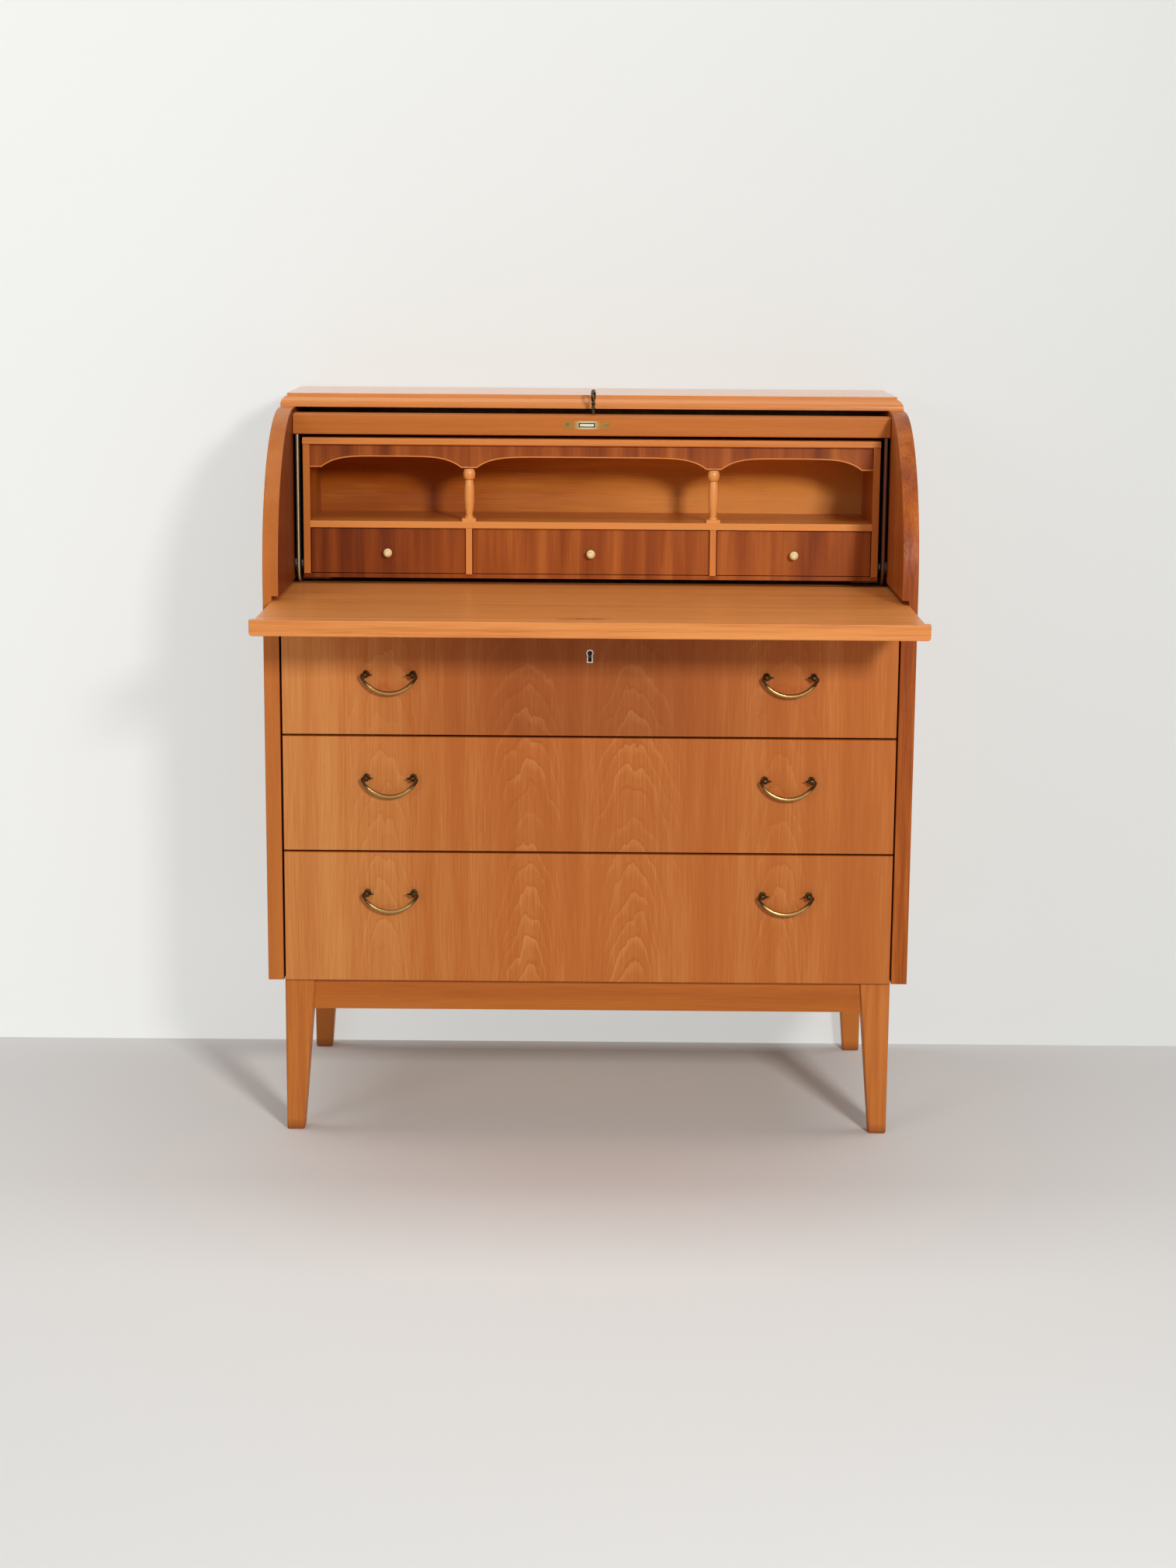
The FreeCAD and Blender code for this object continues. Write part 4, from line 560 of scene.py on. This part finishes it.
def lock_plate():
    """Brushed brass plate: greyed by handling in the middle, yellow at the ends, painted shade round the
    slot.
    """
    low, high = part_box("roll_lock_bolt")
    middle = (low + high) / 2
    rim_beside = 1.6 * MM
    rim_above = 1.3 * MM
    rim = ((high.x - low.x) / 2 + rim_beside, 1.0, (high.z - low.z) / 2 + rim_above)
    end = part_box("roll_lock_screws")[1].x
    material, tree, shader, place = new_material("brass_lock_plate")
    moved = add(tree, "ShaderNodeVectorMath", {0: place, 1: tuple(middle)}, operation="SUBTRACT")
    away = add(tree, "ShaderNodeVectorMath", {0: moved.outputs[0]}, operation="ABSOLUTE")
    brushed = grain(tree, place, (14 * MM, 14 * MM, 0.6 * MM))
    along = add(tree, "ShaderNodeSeparateXYZ", {0: away.outputs[0]}).outputs["X"]
    share = add(tree, "ShaderNodeMapRange", {0: along, 1: 0.0, 2: end, 3: -0.25, 4: 0.75})
    share = add(tree, "ShaderNodeMath", {0: brushed, 1: 0.5, 2: share.outputs[0]}, operation="MULTIPLY_ADD")
    grey = tuple(bpy.context.scene.desk_colours.plate)
    yellow = linear("#9C6A34")
    slot_shade_tint = linear("#1A120A")
    tinted = add(tree, "ShaderNodeValToRGB", {"Fac": share.outputs[0]}, stops=((0.3, grey), (0.8, yellow)))
    # The rim round the bolt is painted black, standing in for shade in the slot.
    fitted = add(tree, "ShaderNodeVectorMath", {0: away.outputs[0], 1: rim}, operation="DIVIDE")
    parts = add(tree, "ShaderNodeSeparateXYZ", {0: fitted.outputs[0]})
    reach = add(tree, "ShaderNodeMath", {0: parts.outputs["X"], 1: parts.outputs["Z"]}, operation="MAXIMUM")
    black = add(tree, "ShaderNodeMath", {0: reach.outputs[0], 1: 1.0}, operation="LESS_THAN")
    final = add(tree, "ShaderNodeMix", {"Factor": black.outputs[0], 6: tinted.outputs[0], 7: (*slot_shade_tint, 1.0)},
                data_type="RGBA")
    fill(tree, shader, {"Base Color": final.outputs[2], "Metallic": 1.0, "Roughness": 0.4})
    return material


def plywood_edges():
    """Birch plywood arms: pale plies, dark glue lines on edge, faces near black, right arm in painted shade.
    """
    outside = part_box("roll_arms")[1].x
    thick = 4.5 * MM
    face_share = 0.7
    material, tree, shader, place = new_material("birch_plywood_arms")
    split = add(tree, "ShaderNodeSeparateXYZ", {0: place})
    out = add(tree, "ShaderNodeMath", {0: split.outputs["X"]}, operation="ABSOLUTE")
    through = add(tree, "ShaderNodeMapRange", {0: out.outputs[0], 1: outside - thick, 2: outside})
    ragged = add(tree, "ShaderNodeTexNoise", {"Vector": place, "Scale": 190.0, "Detail": 3.0})
    moved = add(tree, "ShaderNodeMath", {0: ragged.outputs["Fac"], 1: 0.2, 2: through.outputs[0]},
                operation="MULTIPLY_ADD")
    pale = linear("#E2C692")
    glue = linear("#3A2614")
    near_black = linear("#140C08")
    plies = add(tree, "ShaderNodeValToRGB", {"Fac": moved.outputs[0]},
                stops=((0.3, glue), (0.42, pale), (0.66, pale), (0.74, glue)))
    # The right arm's edge is darkened with painted shade, for the shadow of the right side panel.
    right = add(tree, "ShaderNodeMath", {0: split.outputs["X"], 1: 0.0}, operation="GREATER_THAN")
    darkening = add(tree, "ShaderNodeMath", {0: right.outputs[0], 1: 0.8}, operation="MULTIPLY")
    edge = add(tree, "ShaderNodeMix", {"Factor": darkening.outputs[0], 6: plies.outputs[0], 7: (*SHADE_AND_WEAR, 1.0)},
               data_type="RGBA")
    # The flat faces are made near black.
    face = add(tree, "ShaderNodeMath", {0: facing(tree, "X"), 1: face_share}, operation="GREATER_THAN")
    arm_tint = add(tree, "ShaderNodeMix", {"Factor": face.outputs[0], 6: edge.outputs[2], 7: (*near_black, 1.0)},
                  data_type="RGBA")
    fill(tree, shader, {"Base Color": arm_tint.outputs[2], "Roughness": 0.6})
    return material


class DESK_OT_gallery(bpy.types.Operator):
    """Finishes the gallery, its columns and its small drawers"""
    bl_idname = "desk.gallery"
    bl_label = "Gallery"

    def execute(self, context):
        # Solid cherry, glossy: light edges with fine straight fibres.
        lengthwise = timber("cherry_gallery_lengthwise", tones("solid"), ("Y", "Z", "X"), gloss=0.32,
                            coat=0.2)
        shelf = timber("cherry_gallery_shelf", tones("inside", 0.5), ("Y", "Z", "X"), gloss=0.32,
                       ends=tones("solid", 0.6), coat=0.1)
        sides = timber("cherry_gallery_sides", tones("inside"), ("Y", "X", "Z"), gloss=0.32,
                       ends=tones("frame", 0.9))
        upright = timber("cherry_gallery_upright", tones("solid"), ("Y", "X", "Z"), gloss=0.32, coat=0.2)
        # The turned columns are paler, and the neck above each ball lies in shade.
        column_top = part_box("gallery_columns")[1].z
        turned = timber("cherry_gallery_turned", tones("solid", 1.3), ("X", "Y", "Z"), gloss=0.28, coat=0.3,
                        streak=(5.0, 5.0, 60.0),
                        shade=("Z", column_top - 1.6 * MM, column_top - 2.4 * MM, 0.9))
        dress(lengthwise, "gallery_top")
        dress(shelf, "gallery_shelf")
        dress(sides, "gallery_sides")
        dress(upright, "gallery_dividers")
        dress(turned, "gallery_columns")
        # Bent plywood back with a plain lengthwise veneer, lacquered: a soft cloudy shine.
        inside = timber("cherry_gallery_back", tones("inside"), ("Z", "Y", "X"), gloss=0.36, coat=0.15,
                        streak=(34.0, 34.0, 150.0), mix=(0.1, 0.0, 0.06), fade=(-0.24, 0.3, 0.56))
        dress(inside, "gallery_back")
        # Mahogany veneer, quarter cut: upright ribbons that shift from light to dark.
        ribbon = context.scene.desk_sizes.ribbon / MM
        ribbons = {"mix": (0.37, 0.0, 0.09), "streak": (ribbon, 40.0, 520.0), "gloss": 0.36}
        striped = timber("mahogany_ribbon", tones("mahogany"), ("X", "Y", "Z"), fade=(-0.2, -0.34, -0.45),
                         **ribbons)
        dress(striped, "gallery_bottom", *[name + "_small_drawer_front" for name in BAYS])
        apron = timber("mahogany_apron", tones("mahogany"), ("X", "Y", "Z"), **ribbons)
        dress(apron, "gallery_apron")
        boxes = timber("beech_small_boxes", tones("beech"), "box", gloss=0.55)
        dress(boxes, *[name + "_small_drawer_box" for name in BAYS])
        for name in BAYS:
            dress(bone_knob(name), name + "_small_drawer_knob")
        return {"FINISHED"}


def bone_knob(bay):
    """Turned bone: a cream face inside a darker lathe ring, polished."""
    tint = tuple(bpy.context.scene.desk_colours.bone)
    low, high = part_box(bay + "_small_drawer_knob")
    middle = ((low.x + high.x) / 2, 0.0, (low.z + high.z) / 2)
    rim = (high.z - low.z) / 2
    material, tree, shader, place = new_material("bone_" + bay + "_knob")
    flat = add(tree, "ShaderNodeVectorMath", {0: place, 1: (1.0, 0.0, 1.0)}, operation="MULTIPLY")
    off = add(tree, "ShaderNodeVectorMath", {0: flat.outputs[0], 1: middle}, operation="DISTANCE")
    share = add(tree, "ShaderNodeMapRange", {0: off.outputs["Value"], 1: 0.0, 2: rim})
    tan = [c * 0.5 for c in tint]
    tinted = add(tree, "ShaderNodeValToRGB", {"Fac": share.outputs[0]},
                 stops=((0.45, tint), (0.6, tan), (0.72, tint), (1.0, [c * 0.7 for c in tint])))
    fill(tree, shader, {"Base Color": tinted.outputs[0], "Roughness": 0.3, "Subsurface Weight": 0.08,
                        "Subsurface Radius": (0.002, 0.0014, 0.0008)})
    return material


def apron_edge():
    """Points along the lower front edge of the apron, in metres."""
    low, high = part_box("gallery_apron")
    steps = 48
    rise = 15.5 * MM
    curl = 20.0 * MM
    heart = 176.0 * MM
    flat = 11.0 * MM
    end = high.x - 16.0 * MM
    points = [Vector((low.x, low.y, low.z))]
    for x0, x1 in ((-end, -heart - flat), (-heart + flat, heart - flat), (heart + flat, end)):
        half = (x1 - x0) / 2
        for k in range(steps + 1):
            share = math.sin((2 * k / steps - 1) * math.pi / 2)
            up = rise * (1 - abs(share) ** (half / curl))
            points.append(Vector(((x0 + x1) / 2 + half * share, low.y, low.z + up)))
    points.append(Vector((high.x, low.y, low.z)))
    return points


def path_mesh(name, points, closed=False):
    """A line of points as a mesh of edges."""
    mesh = bpy.data.meshes.new(name)
    edges = [(k, k + 1) for k in range(len(points) - 1)]
    if closed:
        edges.append((len(points) - 1, 0))
    mesh.from_pydata([tuple(point) for point in points], edges, [])
    return mesh


def grown(name, path, tree, shape, material, inputs):
    """Ends a node tree with a shape and its finish, runs it on a path and returns a plain mesh."""
    real = add(tree, "GeometryNodeRealizeInstances", {"Geometry": shape})
    finished = add(tree, "GeometryNodeSetMaterial", {"Geometry": real.outputs[0], "Material": material})
    add(tree, "NodeGroupOutput", {"Geometry": finished.outputs[0]})
    worker = bpy.data.objects.new(name + "_path", path)
    bpy.context.scene.collection.objects.link(worker)
    modifier = worker.modifiers.new("grow", "NODES")
    modifier.node_group = tree
    for item in tree.interface.items_tree:
        if item.name in inputs:
            modifier[item.identifier] = inputs[item.name]
    evaluated = worker.evaluated_get(bpy.context.evaluated_depsgraph_get())
    mesh = bpy.data.meshes.new_from_object(evaluated)
    mesh.name = name
    worker.modifiers.remove(modifier)
    bpy.data.objects.remove(worker)
    return mesh


def growing_tree(name, sizes):
    """A geometry node tree with named sizes, the sockets that give them and its path as a curve."""
    tree = bpy.data.node_groups.new(name, "GeometryNodeTree")
    tree.interface.new_socket("Geometry", in_out="INPUT", socket_type="NodeSocketGeometry")
    for size in sizes:
        tree.interface.new_socket(size, in_out="INPUT", socket_type="NodeSocketFloat")
    tree.interface.new_socket("Geometry", in_out="OUTPUT", socket_type="NodeSocketGeometry")
    given = add(tree, "NodeGroupInput").outputs
    return tree, given, add(tree, "GeometryNodeMeshToCurve", {"Mesh": given["Geometry"]}).outputs[0]


class DESK_OT_apron_bead(bpy.types.Operator):
    """Runs a light bead along the apron's scalloped edge"""
    bl_idname = "desk.apron_bead"
    bl_label = "Apron bead"

    def execute(self, context):
        sizes = context.scene.desk_sizes
        # Solid cherry bead, lacquered: a thin light line.
        light = timber("cherry_bead", tones("solid", 0.3), ("Z", "Y", "X"), gloss=0.3)
        tree, given, line = growing_tree("bead along an edge", ("Radius",))
        section = add(tree, "GeometryNodeCurvePrimitiveCircle", {"Resolution": sizes.bead_sides,
                                                                 "Radius": given["Radius"]})
        bead = add(tree, "GeometryNodeCurveToMesh", {"Curve": line, "Profile Curve": section.outputs[0],
                                                     "Fill Caps": True})
        smooth = add(tree, "GeometryNodeSetShadeSmooth", {"Geometry": bead.outputs[0]})
        path = path_mesh("apron_edge", apron_edge())
        mesh = grown("apron_bead", path, tree, smooth.outputs[0], light, {"Radius": sizes.bead})
        new_piece("apron_bead", mesh, light, "desk")
        return {"FINISHED"}


class DESK_OT_back_nails(bpy.types.Operator):
    """Drives a row of small nails round the back panel"""
    bl_idname = "desk.back_nails"
    bl_label = "Back nails"

    def execute(self, context):
        sizes = context.scene.desk_sizes
        low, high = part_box("back_panel")
        inset = 8 * MM
        head_sides = 12
        head_depth = 0.5 * MM
        y = high.y
        corners = [Vector((low.x + inset, y, low.z + inset)), Vector((high.x - inset, y, low.z + inset)),
                   Vector((high.x - inset, y, high.z - inset)), Vector((low.x + inset, y, high.z - inset))]
        # Plain steel wire nails: small round heads, dulled.
        steel = old_metal("steel_nails", linear("#8C877E"), linear("#5E5A54"), 0.45, 2.0)
        tree, given, line = growing_tree("nails along an edge", ("Spacing", "Head radius"))
        places = add(tree, "GeometryNodeResampleCurve", {"Curve": line, "Length": given["Spacing"]},
                     mode="LENGTH")
        radius = given["Head radius"]
        head = add(tree, "GeometryNodeMeshCone", {"Vertices": head_sides, "Radius Top": radius,
                                                  "Radius Bottom": radius, "Depth": head_depth})
        turned = add(tree, "GeometryNodeTransform", {"Geometry": head.outputs[0],
                                                     "Rotation": (math.pi / 2, 0.0, 0.0)})
        nails = add(tree, "GeometryNodeInstanceOnPoints", {"Points": places.outputs[0],
                                                           "Instance": turned.outputs[0]})
        path = path_mesh("back_edge", corners, closed=True)
        mesh = grown("back_nails", path, tree, nails.outputs[0], steel,
                     {"Spacing": sizes.nail_spacing, "Head radius": sizes.nail_head})
        new_piece("back_nails", mesh, steel, "desk")
        return {"FINISHED"}


def studio_plane(name, corners, material):
    """A flat sheet of the stage."""
    mesh = bpy.data.meshes.new(name)
    mesh.from_pydata(corners, [], [(0, 1, 2, 3)])
    mesh.materials.append(material)
    sheet = bpy.data.objects.new(name, mesh)
    bpy.context.scene.collection.objects.link(sheet)
    return sheet


def painted(name, tint, right_share):
    """Matt paint with a faint cloudiness.

    To the right its colour falls to a share of its full value: painted shade for light falling off.
    """
    material, tree, shader, place = new_material(name)
    cloud = add(tree, "ShaderNodeTexNoise", {"Vector": place, "Scale": 2.2, "Detail": 4.0})
    split = add(tree, "ShaderNodeSeparateXYZ", {0: place})
    # Darker to the right: painted shade, with a faint real cloudiness of the paint added.
    right = add(tree, "ShaderNodeMapRange", {0: split.outputs["X"], 1: -0.9, 2: 0.9, 3: -0.05, 4: 0.95})
    darkening = add(tree, "ShaderNodeMath", {0: cloud.outputs["Fac"], 1: 0.1, 2: right.outputs[0]},
               operation="MULTIPLY_ADD")
    far = [channel * right_share for channel in tint]
    tinted = add(tree, "ShaderNodeValToRGB", {"Fac": darkening.outputs[0]}, stops=((0.0, tint), (1.0, far)))
    fill(tree, shader, {"Base Color": tinted.outputs[0], "Roughness": 0.7})
    return material, tree, shader, tinted.outputs[0]


def glow(tree, shader, tint, share, strength=1.0):
    """Lets a paint show a share of a colour by itself, so that a pale backdrop needs no more light."""
    light = add(tree, "ShaderNodeEmission", {"Color": tint, "Strength": strength})
    mixed = add(tree, "ShaderNodeMixShader", {0: share, 1: shader.outputs[0], 2: light.outputs[0]})
    output = next(node for node in tree.nodes if node.type == "OUTPUT_MATERIAL")
    tree.links.new(mixed.outputs[0], output.inputs["Surface"])
    return mixed, output


def area_light(name, place, target, width, height, power, tint, linked=None):
    """A soft oblong lamp aimed at a point.

    linked is an object with INCLUDE, where it alone gets the light, or EXCLUDE, where it gets none.
    """
    lamp = bpy.data.lights.new(name, "AREA")
    lamp.shape = "RECTANGLE"
    lamp.size = width
    lamp.size_y = height
    lamp.energy = power
    lamp.color = linear(tint)
    holder = bpy.data.objects.new(name, lamp)
    holder.location = place
    holder.rotation_euler = (Vector(target) - Vector(place)).to_track_quat("-Z", "Y").to_euler()
    bpy.context.scene.collection.objects.link(holder)
    if linked:
        sheet, state = linked
        group = bpy.data.collections.new(name + "_link")
        group.objects.link(sheet)
        holder.light_linking.receiver_collection = group
        group.collection_objects[0].light_linking.link_state = state


class DESK_OT_stage(bpy.types.Operator):
    """Sets the floor, the wall, the lamps and the camera"""
    bl_idname = "desk.stage"
    bl_label = "Stage"

    def execute(self, context):
        scene = context.scene
        colours = scene.desk_colours
        wall_y = CAD_BOX[1].y + 6 * MM
        half = 6.0
        deep = 7.0
        tall = 4.0
        floor_corners = [(-half, -deep, 0), (half, -deep, 0), (half, deep, 0), (-half, deep, 0)]
        wall_corners = [(-half, wall_y, 0), (half, wall_y, 0), (half, wall_y, tall), (-half, wall_y, tall)]
        # Floor and wall are painted darker to the right: painted shade where the light falls off.
        floor, tree, shader, _ = painted("floor_paint", tuple(colours.floor), 0.88)
        pale_far_off(tree, shader)
        ground = studio_plane("floor", floor_corners, floor)
        # The wall shows only from the front and holds no light back, so other views see past it.
        wall, tree, shader, tint = painted("wall_paint", tuple(colours.wall), 0.82)
        wall.cycles.emission_sampling = "NONE"
        lit, output = glow(tree, shader, tint, 0.6)
        clear = add(tree, "ShaderNodeBsdfTransparent")
        back = add(tree, "ShaderNodeNewGeometry").outputs["Backfacing"]
        either = add(tree, "ShaderNodeMixShader", {0: back, 1: lit.outputs[0], 2: clear.outputs[0]})
        tree.links.new(either.outputs[0], output.inputs["Surface"])
        sheet = studio_plane("wall", wall_corners, wall)
        for ray in ("visible_diffuse", "visible_transmission", "visible_shadow"):
            setattr(sheet, ray, False)
        area_light("key_lamp", (1.6, -4.3, 2.15), (-0.1, 0.1, 0.8), 0.55, 0.55, 130.0, "#FFFDFA")
        area_light("fill_lamp", (-2.4, -3.4, 1.8), (0.0, 0.0, 0.7), 1.6, 1.2, 20.0, "#FDFDFF")
        # The floor has a lamp of its own, so that it stays even without more light on the desk.
        floor_alone = (ground, "INCLUDE")
        no_floor = (ground, "EXCLUDE")
        area_light("floor_lamp", (0.0, 0.3, 3.3), (0.0, 0.29, 0.0), 6.0, 1.2, 62.0, "#FFFFFF", floor_alone)
        area_light("ceiling_lamp", (0.0, -0.9, 3.4), (0.0, -0.7, 0.0), 3.4, 2.2, 37.0, "#FFFFFF", no_floor)
        area_light("back_lamp", (-2.0, 2.8, 2.8), (0.0, 0.2, 0.6), 2.0, 1.4, 36.0, "#FFFFFF", no_floor)
        area_light("side_lamp", (3.0, 1.6, 2.0), (0.3, 0.0, 0.6), 1.6, 1.4, 26.0, "#FFFDFA", no_floor)
        scene.world = studio_world()
        scene.view_settings.view_transform = "Standard"
        photo_camera(scene)
        return {"FINISHED"}


# The room's colour, and its strength to the eye and as a light.
ROOM_TINT = (*linear("#FAFAFA"), 1.0)
ROOM_SEEN = 0.7
ROOM_LIGHT = 0.12


def seen_ray(tree):
    """One for a ray that the eye follows, straight, reflected or through glass, zero for a lighting ray."""
    rays = add(tree, "ShaderNodeLightPath").outputs
    seen = add(tree, "ShaderNodeMath", {0: rays["Is Camera Ray"], 1: rays["Is Glossy Ray"]},
               operation="MAXIMUM")
    seen = add(tree, "ShaderNodeMath", {0: seen.outputs[0], 1: rays["Is Transmission Ray"]},
               operation="MAXIMUM")
    return seen.outputs[0]


def pale_far_off(tree, shader):
    """Lets the floor run into the pale room a few metres from the desk, to the eye alone."""
    place = add(tree, "ShaderNodeTexCoord").outputs["Object"]
    away = add(tree, "ShaderNodeVectorMath", {0: place}, operation="LENGTH")
    near_edge = 2.8
    far_edge = 5.6
    far = add(tree, "ShaderNodeMapRange", {0: away.outputs["Value"], 1: near_edge, 2: far_edge},
              interpolation_type="SMOOTHSTEP")
    share = add(tree, "ShaderNodeMath", {0: far.outputs[0], 1: seen_ray(tree)}, operation="MULTIPLY")
    glow(tree, shader, ROOM_TINT, share.outputs[0], ROOM_SEEN)


def studio_world():
    """A dim even room, which shows pale to the eye and in reflections and lights nothing by that."""
    world = bpy.data.worlds.new("studio")
    world.use_nodes = True
    tree = world.node_tree
    level = add(tree, "ShaderNodeMapRange", {0: seen_ray(tree), 3: ROOM_LIGHT, 4: ROOM_SEEN})
    fill(tree, tree.nodes["Background"], {"Color": ROOM_TINT, "Strength": level.outputs[0]})
    return world


def photo_camera(scene):
    """A camera at the photograph's standpoint: its place, turn, tilt and lean, and its lens."""
    place = (0.00616, -3.85941, 1.23361)
    yaw, pitch, lean = -0.002, 0.1922, 0.0072
    forward = Vector((math.sin(yaw) * math.cos(pitch), math.cos(yaw) * math.cos(pitch), -math.sin(pitch)))
    level = Vector((math.cos(yaw), -math.sin(yaw), 0.0))
    upright = level.cross(forward)
    right = math.cos(lean) * level + math.sin(lean) * upright
    up = math.cos(lean) * upright - math.sin(lean) * level
    lens = bpy.data.cameras.new("photo_camera")
    lens.sensor_width = 36.0
    lens.lens = 62.78
    camera = bpy.data.objects.new("photo_camera", lens)
    turn = Matrix((right, up, -forward)).transposed().to_4x4()
    camera.matrix_world = Matrix.Translation(place) @ turn
    scene.collection.objects.link(camera)
    scene.camera = camera


OPERATORS = (DESK_OT_case, DESK_OT_base, DESK_OT_drawers, DESK_OT_handles, DESK_OT_board, DESK_OT_roll,
             DESK_OT_gallery, DESK_OT_apron_bead, DESK_OT_back_nails, DESK_OT_stage)


class DESK_PT_sidebar(bpy.types.Panel):
    """Lists the desk's pieces, sizes and colours"""
    bl_idname = "DESK_PT_sidebar"
    bl_label = "Secretary desk"
    bl_space_type = "VIEW_3D"
    bl_region_type = "UI"
    bl_category = "Desk"

    def draw(self, context):
        layout = self.layout
        for operator in OPERATORS:
            layout.operator(operator.bl_idname)
        for group in (context.scene.desk_sizes, context.scene.desk_colours):
            for name in group.__annotations__:
                layout.prop(group, name)


CLASSES = (DeskColours, DeskSizes, *OPERATORS, DESK_PT_sidebar)


def register():
    for cls in CLASSES:
        bpy.utils.register_class(cls)
    bpy.types.Scene.desk_colours = PointerProperty(type=DeskColours)
    bpy.types.Scene.desk_sizes = PointerProperty(type=DeskSizes)


def unregister():
    del bpy.types.Scene.desk_sizes
    del bpy.types.Scene.desk_colours
    for cls in reversed(CLASSES):
        bpy.utils.unregister_class(cls)


def main():
    register()
    bpy.ops.desk.case()
    bpy.ops.desk.base()
    bpy.ops.desk.drawers()
    bpy.ops.desk.handles()
    bpy.ops.desk.board()
    bpy.ops.desk.roll()
    bpy.ops.desk.gallery()
    bpy.ops.desk.apron_bead()
    bpy.ops.desk.back_nails()
    bpy.ops.desk.stage()


if __name__ == "__main__":
    main()
